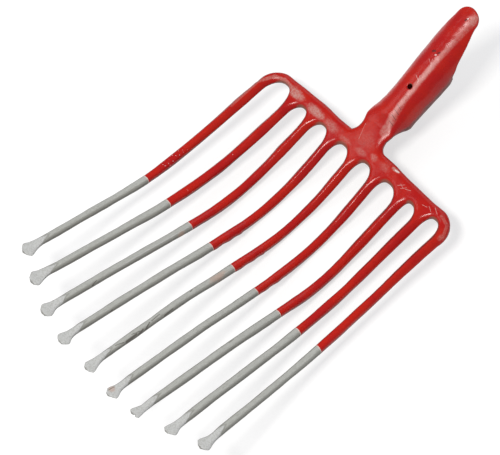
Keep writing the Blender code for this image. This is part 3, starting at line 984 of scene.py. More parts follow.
@dataclass(frozen=True)
class Socket:
    """Rolled socket with its strap, on a solid foot that grows out of the neck."""

    level: LevelFrame
    neck: Neck
    seat: float = 50.0 * MM
    mouth: float = 116.5 * MM
    strap_end: float = 187.0 * MM
    strap_round: float = 15.0 * MM
    bore_at_seat: float = 38.0 * MM
    bore_at_mouth: float = 42.6 * MM
    wall: float = 2.6 * MM
    seam: float = 1.6 * MM
    rim: float = 0.55
    foot_rings: int = 64
    foot_ring: int = 97
    hidden_foot: Row = (0.3, 0.7, 1.0)
    strap_left: Row = (85.0, 76.0, 65.5, 53.5, 41.5)
    strap_right: Row = (85.0, 67.5, 58.0, 48.0, 39.0)
    swell_left: Row = (3.5, 1.5, 0.4, -0.1, -0.3, -0.3, -0.5)
    swell_right: Row = (-0.7, -1.0, -1.0, -0.6, -0.5, -0.3, 0.0)
    strap_fillet: float = 5.0 * MM
    strap_fillet_angle: float = 9.0
    twist: float = math.radians(3.0)
    lip: float = 2.2 * MM
    lip_length: float = 5.0 * MM
    lip_angle: float = 2.1
    lip_spread: float = 0.6
    wrap_columns: int = 26
    face_columns: int = 72
    roll_rows: int = 72
    strap_rows: int = 84
    nail_hole: float = 5.6 * MM
    nail_hole_at: float = 80.7 * MM
    hole_block: int = 4
    hole_rings: int = 12

    def bore(self, distance: Array) -> Array:
        """Radius of the bore: tapered from the seat to the mouth, then even."""
        share = np.clip((distance - self.seat) / (self.mouth - self.seat), 0.0, 1.0)
        return 0.5 * mix(self.bore_at_seat, self.bore_at_mouth, share)

    def foot_surface(self) -> Array:
        """Points of the foot: superellipse rings from the flat neck to the round seat.

        The top climbs and the bottom falls with a smooth step, and the sides follow the
        flanks. The first rings lie hidden in the neck and the last in the roll.

        Returns:
            Grid of level points, rings first.
        """
        neck = self.neck
        hidden = np.linspace(neck.weld - OVERLAP, neck.weld, HIDDEN_RINGS)[:-1]
        distance = np.concatenate([hidden, np.linspace(neck.weld, neck.end, self.foot_rings)])
        share = smoothstep((distance - neck.weld) / (neck.end - neck.weld))
        radius = self.bore(np.array(neck.end)) + self.wall
        drop = self.level.socket_drop
        top = mix(neck.half_thickness, radius - drop, share)
        bottom = -mix(neck.half_thickness, radius + drop, share)
        sides = [neck.half(values, distance) for values in (neck.left, neck.right)]
        power = mix(neck.power, 2.0, share)
        tail = np.array(self.hidden_foot)
        inner = self.bore(np.array(self.seat)) + 0.3 * self.wall
        shrink = mix(1.0, inner / radius, tail)
        narrow = 1.0 - NECK_SHRINK * np.clip((neck.weld - distance) / OVERLAP, 0.0, 1.0) ** 2
        left, right = (np.concatenate([side * narrow, side[-1] * shrink]) for side in sides)
        top = np.concatenate([top * narrow, radius * shrink - drop])
        bottom = np.concatenate([bottom * narrow, -radius * shrink - drop])
        power = np.concatenate([power, np.full(len(tail), 2.0)])[:, None]
        distance = np.concatenate([distance, mix(neck.end, self.seat, tail)])
        angle = np.linspace(0.0, 2.0 * np.pi, self.foot_ring)
        cosine, sine = np.cos(angle)[None], np.sin(angle)[None]
        size = (np.abs(cosine) ** power + np.abs(sine) ** power) ** (-1.0 / power)
        across = np.where(cosine < 0.0, left[:, None], right[:, None]) * cosine * size
        rise = 0.5 * (top + bottom)[:, None] + 0.5 * (top - bottom)[:, None] * sine * size
        distance = np.broadcast_to(distance[:, None], across.shape)
        return self.level.from_head(across, distance, rise)

    def build_foot(self, finish: bpy.types.Material) -> bpy.types.Object:
        """Make the foot's piece and dress it."""
        shell = Shell("socket_foot_enamelled")
        grid = self.level.to_row(self.foot_surface())
        shell.add_grid(grid)
        shell.close(grid[0])
        shell.close(grid[-1])
        piece = shell.build()
        fasten(piece, finish, Slot.ENAMEL, "socket")
        return piece

    def strap_angle(self, values: Row, distance: Array) -> Array:
        """Half angle of the strap on one side: its taper, with a fillet at the mouth."""
        taper_end = self.strap_end - self.strap_round
        angle = through(values, (distance - self.mouth) / (taper_end - self.mouth))
        near = np.clip((distance - self.mouth) / self.strap_fillet, 0.0, 1.0)
        fillet = self.strap_fillet_angle * (1.0 - np.sqrt(1.0 - (1.0 - near) ** 2))
        return np.radians(angle + fillet)

    def scale(self) -> float:
        """Chart metres to a radian: the radius of the wall's middle layer."""
        return float(0.5 * self.bore_at_mouth + 0.5 * self.wall)

    def sheet_charts(self) -> tuple[list[Array], list[Array]]:
        """Chart patches of the unrolled sheet and its outline.

        A chart point is an angle times the middle radius, and a distance up the head.

        Returns:
            Patches with rows first, and the outline's polylines.
        """
        scale = self.scale()
        seam = math.pi - 0.5 * self.seam / scale
        front = float(self.strap_angle(self.strap_left, np.array(self.mouth)))
        wrap = mix(front, seam, crowded(self.wrap_columns))[1:]
        face = front * (2.0 * crowded(self.face_columns, 0.5) - 1.0)
        angles = np.concatenate([-wrap[::-1], face, wrap]) * scale
        distances = mix(self.neck.end - OVERLAP, self.mouth, crowded(self.roll_rows, 0.6))
        rolled = np.stack(np.meshgrid(angles, distances), axis=-1)
        share = face / front
        rows = crowded(self.strap_rows, 0.5)
        taper_end = self.strap_end - self.strap_round
        tip = taper_end + self.strap_round * np.sqrt(np.clip(1.0 - share**2, 0.0, 1.0))
        distance = mix(self.mouth, tip[None], rows[:, None])
        sides = (self.strap_left, self.strap_right)
        left, right = (self.strap_angle(side, distance) for side in sides)
        half = np.where(share[None] < 0.0, left, right)
        strap = np.stack([share[None] * half * scale, distance], axis=-1)
        first = len(wrap)
        outline = [rolled[0], rolled[:, 0], rolled[:, -1]]
        outline += [rolled[-1, : first + 1], rolled[-1, len(angles) - first - 1:]]
        outline += [strap[:, 0], strap[:, -1], strap[-1]]
        patches, circle = self.cut_hole(rolled)
        return patches + [strap], outline + [circle]

    def cut_hole(self, rolled: Array) -> tuple[list[Array], Array]:
        """Split the rolled patch round the nail hole and fill in with a ring of points.

        The ring runs from the hole's circle to the border of a small block of cells.

        Args:
            rolled: chart patch of the rolled part.

        Returns:
            The patches and the circle.
        """
        size = self.hole_block
        column = int(np.argmin(np.abs(rolled[0, :, 0])))
        row = int(np.argmin(np.abs(rolled[:, 0, 1] - self.nail_hole_at)))
        low, high, near, far = row - size, row + size, column - size, column + size
        border = np.concatenate(
            [
                rolled[low, near:far],
                rolled[low:high, far],
                rolled[high, far:near:-1],
                rolled[high:low:-1, near],
                rolled[low:low + 1, near],
            ]
        )
        away = border - np.array([0.0, self.nail_hole_at])
        circle = 0.5 * self.nail_hole * away / np.linalg.norm(away, axis=1, keepdims=True)
        circle += np.array([0.0, self.nail_hole_at])
        steps = np.linspace(0.0, 1.0, self.hole_rings + 1)[:, None, None] ** 1.7
        ring = mix(circle[None], border[None], steps)
        patches = [rolled[: low + 1], rolled[high:], rolled[low:high + 1, : near + 1]]
        return patches + [rolled[low:high + 1, far:], ring], circle

    def sheet_points(self, chart: Array, off: Array) -> Array:
        """Level points of the rolled sheet, off its middle layer by a signed height.

        The radius grows with the bore, strays at the sides by the swells, and falls by a
        bell over the mouth's right corner, where the real rim is bent in.

        Args:
            chart: chart points.
            off: signed heights off the middle layer.

        Returns:
            Level points.
        """
        distance = chart[..., 1]
        angle = chart[..., 0] / self.scale() + self.twist
        bell = ((distance - self.mouth) / self.lip_length) ** 2
        bell = bell + ((angle - self.lip_angle) / self.lip_spread) ** 2
        radius = self.bore(distance) + 0.5 * self.wall + off - self.lip * np.exp(-bell)
        share = (distance - self.neck.end) / (self.mouth - self.neck.end)
        side = np.sin(angle)
        left, right = through(self.swell_left, share), through(self.swell_right, share)
        swell = np.where(side < 0.0, left, right)
        across = (radius + swell * MM) * side + self.level.axis_x(distance)
        rise = radius * np.cos(angle) - self.level.socket_drop
        return self.level.from_head(across, distance, rise)

    def build_sheet(self, finish: bpy.types.Material) -> bpy.types.Object:
        """Make the rolled sheet's piece and dress it."""
        shell = Shell("socket_roll_enamelled")
        patches, outline = self.sheet_charts()
        for chart in patches:
            inward = distance_to_curves(chart, outline)
            inward[inward < ON_RIM] = 0.0
            half = 0.5 * self.wall * rim_profile(inward / (self.rim * self.wall), 2.0)
            for side in (1.0, -1.0):
                shell.add_grid(self.level.to_row(self.sheet_points(chart, side * half)))
        piece = shell.build()
        fasten(piece, finish, Slot.ENAMEL, "socket")
        return piece


class Value:
    """A number or vector socket of a shader, with arithmetic that adds Math nodes."""

    def __init__(self, shader: "Shader", socket: bpy.types.NodeSocket) -> None:
        """Wrap one output socket of a shader's tree."""
        self.shader = shader
        self.socket = socket

    def __add__(self, other: "Value | float") -> "Value":
        """Sum."""
        return self.shader.maths("ADD", self, other)

    def __radd__(self, other: float) -> "Value":
        """Sum with a number first."""
        return self.shader.maths("ADD", other, self)

    def __sub__(self, other: "Value | float") -> "Value":
        """Difference."""
        return self.shader.maths("SUBTRACT", self, other)

    def __rsub__(self, other: float) -> "Value":
        """Difference from a number."""
        return self.shader.maths("SUBTRACT", other, self)

    def __mul__(self, other: "Value | float") -> "Value":
        """Product."""
        return self.shader.maths("MULTIPLY", self, other)

    def __rmul__(self, other: float) -> "Value":
        """Product with a number first."""
        return self.shader.maths("MULTIPLY", other, self)

    def __truediv__(self, other: "Value | float") -> "Value":
        """Quotient."""
        return self.shader.maths("DIVIDE", self, other)


class Shader:
    """One material's node tree, built from calls that return wrapped sockets."""

    def __init__(self, name: str) -> None:
        """Start a material with only its surface shader and output."""
        self.material = bpy.data.materials.new(name)
        self.material.use_nodes = True
        self.tree = self.material.node_tree
        self.tree.nodes.clear()
        self.output = self.tree.nodes.new("ShaderNodeOutputMaterial")

    def node(
        self, kind: str, settings: dict | None = None, inputs: dict | None = None
    ) -> bpy.types.Node:
        """Add any node.

        Args:
            kind: the node's type.
            settings: attributes that are set before the sockets.
            inputs: values or links by socket name or number.

        Returns:
            The node.
        """
        made = self.tree.nodes.new(kind)
        for key, value in (settings or {}).items():
            setattr(made, key, value)
        for key, value in (inputs or {}).items():
            if isinstance(value, Value):
                self.tree.links.new(value.socket, made.inputs[key])
            else:
                made.inputs[key].default_value = value
        return made

    def maths(self, operation: str, *terms: Value | float) -> Value:
        """Add a Math node on numbers."""
        made = self.node("ShaderNodeMath", {"operation": operation}, dict(enumerate(terms)))
        return Value(self, made.outputs[0])

    def place(self) -> Value:
        """Object coordinates of the surface."""
        return Value(self, self.node("ShaderNodeTexCoord").outputs["Object"])

    def dot(self, vector: Value, direction: Triple) -> Value:
        """Length of a vector along a fixed direction."""
        inputs = {0: vector, 1: direction}
        made = self.node("ShaderNodeVectorMath", {"operation": "DOT_PRODUCT"}, inputs)
        return Value(self, made.outputs["Value"])

    def ramp(self, value: Value, low: float, high: float) -> Value:
        """Ease from 0 at low to 1 at high; low may lie above high."""
        if low <= high:
            inputs = {0: value, 1: low, 2: high, 3: 0.0, 4: 1.0}
        else:
            inputs = {0: value, 1: high, 2: low, 3: 1.0, 4: 0.0}
        settings = {"interpolation_type": "SMOOTHSTEP"}
        return Value(self, self.node("ShaderNodeMapRange", settings, inputs).outputs[0])

    def noise(self, vector: Value, size: float, detail: float = 3.0, rough: float = 0.5) -> Value:
        """Noise from 0 to 1 whose features are about a given size in metres."""
        inputs = {"Vector": vector, "Scale": 1.0 / size, "Detail": detail, "Roughness": rough}
        return Value(self, self.node("ShaderNodeTexNoise", {}, inputs).outputs[0])

    def spots(self, vector: Value, size: float) -> Value:
        """Distance from the nearest of scattered points, in shares of their spacing."""
        inputs = {"Vector": vector, "Scale": 1.0 / size}
        return Value(self, self.node("ShaderNodeTexVoronoi", {}, inputs).outputs["Distance"])

    def stretched(self, vector: Value, scale: Triple) -> Value:
        """Coordinates drawn out along the axes, so that a pattern runs along one of them."""
        inputs = {"Vector": vector, "Scale": scale}
        made = self.node("ShaderNodeMapping", {"vector_type": "POINT"}, inputs)
        return Value(self, made.outputs[0])

    def colour(self, share: Value, first: Value | Triple, second: Value | Triple) -> Value:
        """Blend two colours."""
        both = [value if isinstance(value, Value) else (*value, 1.0) for value in (first, second)]
        inputs = {0: share, 6: both[0], 7: both[1]}
        return Value(self, self.node("ShaderNodeMix", {"data_type": "RGBA"}, inputs).outputs[2])

    def stroke(self, x: Value, y: Value, start: Pair, end: Pair, width: float) -> Value:
        """Mask of a straight mark in a flat chart: 1 on it, easing to 0 at its width.

        The point is dropped square on the segment, kept between its ends, and the distance
        to that drop is eased.

        Args:
            x: first chart coordinate in millimetres.
            y: second chart coordinate in millimetres.
            start: start of the mark.
            end: end of the mark.
            width: half width of the mark.

        Returns:
            The mask.
        """
        span = (end[0] - start[0], end[1] - start[1])
        square = span[0] ** 2 + span[1] ** 2
        across, along = x - start[0], y - start[1]
        share = across * (span[0] / square) + along * (span[1] / square)
        share = self.maths("MINIMUM", self.maths("MAXIMUM", share, 0.0), 1.0)
        off_x, off_y = across - share * span[0], along - share * span[1]
        gap = self.maths("SQRT", off_x * off_x + off_y * off_y)
        return self.ramp(gap, width, 0.35 * width)

    def strokes(self, x: Value, y: Value, *marks: Stroke) -> Value:
        """Mask of several straight marks, each a start, an end and a half width."""
        return self.most(*(self.stroke(x, y, *mark) for mark in marks))

    def patch(self, x: Value, y: Value, centre: Pair, size: Pair, ragged: Value) -> Value:
        """Mask of a soft patch in a flat chart: 1 inside, easing to 0 at an uneven rim.

        Args:
            x: first chart coordinate in millimetres.
            y: second chart coordinate in millimetres.
            centre: middle of the patch.
            size: its half sizes.
            ragged: noise that moves the rim.

        Returns:
            The mask.
        """
        across, along = (x - centre[0]) / size[0], (y - centre[1]) / size[1]
        gap = self.maths("SQRT", across * across + along * along)
        return self.ramp(gap + (ragged - 0.5) * 1.1, 1.0, 0.3)

    def patches(self, x: Value, y: Value, ragged: Value, *fields: tuple[Pair, Pair]) -> Value:
        """Mask of several soft patches, each a middle and its half sizes."""
        return self.most(*(self.patch(x, y, *field, ragged) for field in fields))

    def most(self, *masks: Value) -> Value:
        """Largest of several masks."""
        best = masks[0]
        for mask in masks[1:]:
            best = self.maths("MAXIMUM", best, mask)
        return best

    def facing(self, direction: Triple, low: float, high: float) -> Value:
        """Mask of the surface that faces a fixed direction, eased like a ramp."""
        normal = Value(self, self.node("ShaderNodeNewGeometry").outputs["Normal"])
        return self.ramp(self.dot(normal, direction), low, high)

    def attribute(self, name: str) -> Value:
        """Number stored on the mesh."""
        made = self.node("ShaderNodeAttribute", {"attribute_name": name})
        return Value(self, made.outputs["Fac"])

    def bump(
        self, height: Value, strength: float, distance: float, normal: Value | None = None
    ) -> Value:
        """Add a Bump node over an earlier normal.

        Args:
            height: the relief from 0 to 1.
            strength: share of the relief that shows.
            distance: height of a full relief in metres.
            normal: normal of an earlier bump.

        Returns:
            The new normal.
        """
        inputs = {"Height": height, "Strength": strength, "Distance": distance}
        if normal is not None:
            inputs["Normal"] = normal
        return Value(self, self.node("ShaderNodeBump", {}, inputs).outputs[0])

    def finish(self, inputs: dict) -> bpy.types.Material:
        """Close the material with a Principled surface."""
        surface = self.node("ShaderNodeBsdfPrincipled", {}, inputs)
        self.tree.links.new(surface.outputs[0], self.output.inputs[0])
        return self.material


@dataclass(frozen=True)
class LevelChart:
    """Level coordinates inside a shader, in millimetres: across, forward and height."""

    level: LevelFrame

    def up_head(self, shader: Shader) -> tuple[Value, Value]:
        """Place across and distance up the head's plane, for marks on the bar and socket."""
        across, forward, height = self.read(shader)
        sine, cosine = math.sin(self.level.lift), math.cos(self.level.lift)
        return across, (height - self.level.bar_height / MM) * sine - forward * cosine

    def read(self, shader: Shader) -> tuple[Value, Value, Value]:
        """Coordinates from dot products that undo the tilt, plus the seat's place."""
        place = shader.place()
        back, high = self.level.seat()
        sine, cosine = math.sin(-self.level.tilt), math.cos(-self.level.tilt)
        one = 1.0 / MM
        across = shader.dot(place, (one, 0.0, 0.0))
        across = across + self.level.axis_x(self.level.seat_distance) * one
        forward = shader.dot(place, (0.0, -one * cosine, one * sine)) - back * one
        height = shader.dot(place, (0.0, one * sine, one * cosine)) + high * one
        return across, forward, height


@dataclass(frozen=True)
class Enamel:
    """Glossy red enamel over forged steel: runs, dust with painted highlights, pits, scratches,
    and brown painted shade on the undersides, the left flanks and the walls that face forward.
    """

    level: LevelFrame
    bright: Triple = (0.53, 0.012, 0.003)
    deep: Triple = (0.43, 0.004, 0.007)
    mottle: Triple = (0.34, 0.006, 0.004)
    # Brown of the painted shade on the undersides and left flanks.
    edge: Triple = (0.10, 0.022, 0.014)
    # Pale pink of the dust and of the painted highlights and reflections.
    dust_and_highlight_colour: Triple = (0.58, 0.30, 0.26)
    # Grey-brown of the painted shade on the walls that face forward.
    front_wall_shade: Triple = (0.20, 0.11, 0.075)
    pit: Triple = (0.035, 0.012, 0.010)
    scuff: Triple = (0.80, 0.50, 0.46)
    # White of the flecks and of a painted glint.
    fleck_and_glint_white: Triple = (0.88, 0.76, 0.72)
    roughness: float = 0.18
    specular: float = 0.3
    # Where the painted shade on the left flanks begins and ends.
    flank: Pair = (0.38, 0.66)

    def red(self, shader: Shader, place: Value) -> Value:
        """Red that drifts between two tones with a fine mottling, with brown painted shade on the
        undersides and left flanks.
        """
        drift = shader.ramp(shader.noise(place, 32.0 * MM, 3.0), 0.35, 0.68)
        mottled = shader.ramp(shader.noise(place, 2.6 * MM, 4.0, 0.7), 0.42, 0.66)
        red = shader.colour(drift * 0.7, self.bright, self.deep)
        red = shader.colour(mottled * 0.32, red, self.mottle)
        return shader.colour(self.painted_shade(shader, place), red, self.edge)

    def painted_shade(self, shader: Shader, place: Value) -> Value:
        """Painted shade: brown on the undersides and on the flanks that face left."""
        uneven = shader.ramp(shader.noise(place, 5.0 * MM, 4.0, 0.6), 0.3, 0.65) * 0.35 + 0.6
        # Painted shade on the surfaces that face down and on those that face left.
        shaded_under = shader.facing(UP, 0.15, -0.15)
        flank = shader.facing(LEFT, *self.flank)
        return shader.most(shaded_under, flank * 0.8) * uneven

    def rubbed_and_highlight_bands(self, shader: Shader, x: Value, up: Value) -> Value:
        """Pale bands of painted highlight round the two outer corners, and a band up the socket's
        ridge that is partly rubbed enamel and partly painted highlight.

        Each row is a start, an end, a half width and a strength.
        """
        strokes = (
            ((-148.4, -62.0), (-148.6, -22.0), 2.0, 0.42),
            ((-148.6, -22.0), (-141.0, -7.0), 2.8, 0.52),
            ((-141.0, -7.0), (-129.0, -3.0), 2.8, 0.60),
            ((-129.0, -3.0), (-116.0, -4.0), 3.4, 0.66),
            ((126.0, -1.5), (138.0, -5.0), 2.2, 0.36),
            ((138.0, -5.0), (144.0, -15.0), 2.0, 0.36),
            ((10.5, 25.0), (8.3, 44.0), 6.0, 0.60),
            ((8.3, 44.0), (6.6, 62.0), 5.0, 0.48),
            ((6.6, 62.0), (6.6, 86.0), 4.4, 0.42),
            ((6.6, 86.0), (7.8, 113.0), 4.4, 0.50),
            ((7.8, 113.0), (9.7, 141.0), 3.8, 0.36),
            ((9.7, 141.0), (11.4, 167.0), 3.8, 0.36),
        )
        return shader.most(*(shader.stroke(x, up, *mark) * share for *mark, share in strokes))

    def grain(self, shader: Shader, place: Value) -> Value:
        """Strength of the dust, the rubbing and the painted highlights from place to place, from
        0.35 to 1.
        """
        coarse = shader.noise(place, 1.9 * MM, 4.0, 0.75)
        return 0.35 + 0.65 * shader.ramp(coarse, 0.38, 0.62)

    def relief(self, shader: Shader, place: Value) -> Value:
        """Orange peel over slow hammer marks, as one normal."""
        slow = shader.noise(place, 11.0 * MM, 2.0)
        peel = shader.noise(place, 1.4 * MM, 3.0, 0.65)
        first = shader.bump(slow, 0.12, 0.8 * MM)
        return shader.bump(peel, 0.45, 0.14 * MM, first)

    def gloss(self, shader: Shader, place: Value) -> Value:
        """Roughness with dull patches."""
        dull = shader.ramp(shader.noise(place, 14.0 * MM, 4.0, 0.6), 0.45, 0.75)
        return self.roughness + dull * 0.10

    def dust_and_highlight_mask(self, shader: Shader, place: Value, x: Value, up: Value) -> Value:
        """Grainy dull patches along the bar, strongest between the left tines: partly dust and
        partly painted reflection of the lamps.

        Each row is a middle, half sizes and a strength.
        """
        ragged = shader.noise(place, 7.0 * MM, 4.0, 0.65)
        patches = (
            ((-106.0, -6.0), (18.0, 7.5), 1.0),
            ((-73.0, -6.5), (18.0, 7.0), 1.0),
            ((-45.0, -7.5), (15.0, 7.0), 0.50),
            ((-20.0, -9.0), (12.0, 5.0), 0.34),
            ((4.0, -7.0), (12.0, 5.0), 0.34),
            ((0.0, 6.0), (17.0, 13.0), 0.18),
            ((21.0, -3.0), (7.0, 5.0), 0.50),
            ((50.5, 2.8), (7.5, 2.8), 1.0),
            ((38.0, -2.0), (9.0, 7.0), 0.26),
            ((9.5, 31.0), (6.0, 12.0), 0.60),
            ((11.5, 176.0), (5.5, 11.0), 0.75),
            ((144.0, -18.0), (4.0, 5.0), 0.45),
        )
        masks = [shader.patch(x, up, *field, ragged) * share for *field, share in patches]
        return shader.most(self.rubbed_and_highlight_bands(shader, x, up), *masks) * self.grain(shader, place)

    def scratched(self, shader: Shader, x: Value, up: Value) -> Value:
        """Fine pale scratches on the bar and beside the socket's ridge."""
        return shader.strokes(
            x,
            up,
            ((64.0, -8.0), (70.0, -2.5), 0.35),
            ((69.0, -8.5), (74.0, -3.5), 0.30),
            ((74.0, -5.5), (80.0, -3.0), 0.35),
            ((66.0, -4.5), (71.0, -6.5), 0.30),
            ((101.0, -6.0), (107.0, -4.5), 0.35),
            ((108.0, -2.5), (114.0, -5.5), 0.35),
            ((114.0, 0.5), (121.0, -3.0), 0.40),
            ((-0.5, 94.5), (6.5, 91.0), 0.40),
            ((3.5, 97.0), (6.0, 89.0), 0.30),
            ((0.0, 116.5), (5.5, 113.0), 0.35),
            ((3.0, 119.0), (6.5, 111.5), 0.30),
            ((-14.0, 20.0), (-8.0, 2.0), 0.25),
        )

    def pitted(self, shader: Shader, x: Value, up: Value) -> Value:
        """Dark pits near the strap's ridge and its end, and fine cross marks on the ridge."""
        return shader.strokes(
            x,
            up,
            ((-2.8, 125.6), (-0.8, 127.0), 1.9),
            ((3.9, 127.0), (4.9, 128.6), 1.3),
            ((4.2, 172.0), (4.8, 173.2), 1.2),
            ((8.0, 38.5), (13.5, 37.0), 0.45),
            ((6.0, 45.5), (12.5, 43.5), 0.45),
            ((5.0, 51.5), (11.0, 50.0), 0.45),
            ((4.0, 57.5), (10.0, 55.5), 0.45),
        )

    def flecks_and_glint(self, shader: Shader, x: Value, up: Value) -> Value:
        """Small white flecks beside the pits, and a painted glint on the bar's back edge."""
        return shader.strokes(
            x,
            up,
            ((2.6, 123.8), (3.4, 124.4), 1.1),
            ((5.4, 174.6), (5.8, 175.2), 1.0),
            ((50.0, 2.6), (54.5, 3.2), 1.1),
        )

    def make(self, name: str) -> bpy.types.Material:
        """Make the material of the bar or the socket."""
        shader = Shader(name)
        place = shader.place()
        x, up = LevelChart(self.level).up_head(shader)
        top = shader.facing(UP, 0.45, 0.8)
        # Pale pink dust and painted highlights and reflections, on the faces that look up.
        dust_and_highlight_mask = self.dust_and_highlight_mask(shader, place, x, up) * top
        marks = self.scratched(shader, x, up) * top
        pits = self.pitted(shader, x, up) * top
        # Painted shade: the walls that face forward, round the arches, turn grey-brown.
        wall = shader.facing(FRONT, 0.50, 0.80)
        colour = shader.colour(wall * 0.75, self.red(shader, place), self.front_wall_shade)
        # Painted highlights and dust, in one pale pink.
        colour = shader.colour(dust_and_highlight_mask, colour, self.dust_and_highlight_colour)
        colour = shader.colour(marks * 0.6, colour, self.scuff)
        # White flecks, and a painted glint on the bar's back edge.
        colour = shader.colour(self.flecks_and_glint(shader, x, up) * top * 0.8, colour, self.fleck_and_glint_white)
        dull = dust_and_highlight_mask * 0.3 + self.painted_shade(shader, place) * 0.3
        return shader.finish(
            {
                "Base Color": shader.colour(pits * 0.75, colour, self.pit),
                "Roughness": self.gloss(shader, place) + dull,
                "Specular IOR Level": self.specular,
                "Normal": self.relief(shader, place),
            }
        )


@dataclass(frozen=True)
class TineFinish:
    """Red enamel on the upper tines and silver paint on their working ends."""

    level: LevelFrame
    enamel: Enamel
    paint_line: float = 185.0
    silver: Triple = (0.45, 0.46, 0.43)
    # Darker silver of the drawn grain and of the painted shade on the right-facing walls.
    silver_grain_and_shade: Triple = (0.30, 0.30, 0.265)
    silver_end: Triple = (0.555, 0.565, 0.555)
    # Dark of bare steel in the nicks and at the tip's rim, of the darker crease, and of the
    # painted shade on the sides.
    bare_and_shade: Triple = (0.13, 0.12, 0.10)
    stain: Triple = (0.50, 0.30, 0.22)
    lip: Triple = (0.80, 0.58, 0.52)
    speck: Triple = (0.85, 0.72, 0.70)
    roughness: float = 0.48
    specular: float = 0.3

    def speckled(self, shader: Shader, place: Value, x: Value, forward: Value) -> Value:
        """White specks in the red of the left tines, before the paint line."""
        ragged = shader.noise(place, 6.0 * MM, 3.0, 0.6)
        fields = (
            ((-147.0, 150.0), (9.0, 22.0)),
            ((-108.0, 158.0), (5.0, 5.0)),
            ((-108.0, 99.0), (4.0, 4.0)),
        )
        dots = shader.ramp(shader.spots(place, 2.6 * MM), 0.24, 0.12)
        return shader.patches(x, forward, ragged, *fields) * dots

    def stained(self, shader: Shader, place: Value, x: Value, forward: Value) -> Value:
        """Reddish stains in the silver of tines 3 and 5 and on the end of tine 6."""
        ragged = shader.noise(place, 4.0 * MM, 4.0, 0.65)
        fields = (
            ((-68.0, 200.0), (5.0, 6.0)),
            ((2.0, 206.0), (5.0, 15.0)),
            ((43.5, 376.0), (5.0, 5.0)),
        )
        return shader.patches(x, forward, ragged, *fields)

    def nicked(self, shader: Shader, x: Value, forward: Value) -> Value:
        """Dark nicks and drag marks in the silver."""
        return shader.strokes(
            x,
            forward,
            ((-1.5, 238.0), (-0.6, 241.0), 0.8),
            ((4.6, 268.0), (5.4, 280.0), 0.5),
            ((2.0, 284.0), (3.4, 295.0), 0.7),
            ((3.6, 298.0), (7.2, 306.0), 0.8),
            ((5.8, 308.0), (7.6, 315.0), 0.8),
            ((6.4, 317.0), (7.4, 331.0), 1.0),
            ((4.4, 322.0), (6.0, 312.0), 0.5),
            ((4.8, 343.0), (6.6, 334.0), 0.6),
            ((-109.5, 249.0), (-109.2, 253.0), 0.5),
            ((-75.6, 309.0), (-74.2, 316.0), 0.5),
            ((-35.0, 318.0), (-34.3, 324.0), 0.5),
            ((75.8, 244.0), (76.4, 250.0), 0.5),
            ((42.3, 379.0), (43.0, 372.5), 0.7),
            ((-152.3, 281.0), (-152.9, 292.0), 0.8),
        )

    def ridged(self, shader: Shader, x: Value, forward: Value) -> Value:
        """Pale ridge line along the silver of tine 3."""
        return shader.strokes(
            x,
            forward,
            ((-70.9, 190.0), (-73.2, 238.0), 0.7),
            ((-73.2, 238.0), (-74.9, 300.0), 0.7),
        )

    def paint(self, shader: Shader, place: Value, x: Value, forward: Value) -> Value:
        """Silver with drawn grain, a paler end with a darker crease, painted shade on the sides,
        stains and nicks.
        """
        grain = shader.noise(shader.stretched(place, (1.0, 0.2, 1.0)), 1.8 * MM, 4.0, 0.7)
        fine = shader.noise(place, 1.5 * MM, 3.0, 0.7)
        drawn = shader.ramp(grain, 0.42, 0.72) * 0.45
        silver = shader.colour(drawn, self.silver, self.silver_grain_and_shade)
        uneven = (shader.noise(place, 9.0 * MM, 3.0) - 0.5) * 8.0
        behind = shader.attribute(FACE_ATTRIBUTE) + uneven
        end = shader.ramp(behind, 36.0, 32.0)
        speckle = shader.ramp(fine, 0.44, 0.62) * 0.42
        grey = shader.colour(speckle, self.silver_end, self.silver_grain_and_shade)
        silver = shader.colour(end, silver, grey)
        # Darker along the crease where the fan's flat begins.
        crease = shader.ramp(behind, 38.5, 36.0) * shader.ramp(behind, 32.0, 34.5)
        silver = shader.colour(crease * 0.35, silver, self.bare_and_shade)
        silver = shader.colour(self.ridged(shader, x, forward) * 0.7, silver, self.silver_end)
        # Painted shade: the walls that face right are darker, except on the fan.
        wall = shader.facing(RIGHT, 0.35, 0.80)
        silver = shader.colour(wall * (1.0 - end) * 0.75, silver, self.silver_grain_and_shade)
        rim = shader.ramp(shader.attribute(TIP_ATTRIBUTE), 1.7, 0.7)
        silver = shader.colour(rim * 0.6, silver, self.bare_and_shade)
        # Painted shade: the flanks that face left, and the sides and undersides, go dark.
        flank = shader.facing(LEFT, 0.30, 0.62)
        side = shader.facing(UP, 0.40, 0.0)
        silver = shader.colour(shader.most(flank, side * 0.7) * 0.8, silver, self.bare_and_shade)
        silver = shader.colour(self.stained(shader, place, x, forward) * 0.5, silver, self.stain)
        return shader.colour(self.nicked(shader, x, forward) * 0.85, silver, self.bare_and_shade)

    def make(self) -> bpy.types.Material:
        """Make the material of the tines."""
        shader = Shader("red enamel and silver paint")
        place = shader.place()
        x, forward, _ = LevelChart(self.level).read(shader)
        ragged = forward + (shader.noise(place, 3.0 * MM, 2.0) - 0.5) * 0.9
        silver_side = shader.ramp(ragged, self.paint_line - 0.2, self.paint_line + 0.2)
        lip = silver_side * shader.ramp(ragged, self.paint_line + 1.4, self.paint_line + 0.5)
        silver = self.paint(shader, place, x, forward)
        silver = shader.colour(lip * 0.7, silver, self.lip)
        specks = self.speckled(shader, place, x, forward)
        across, up = LevelChart(self.level).up_head(shader)
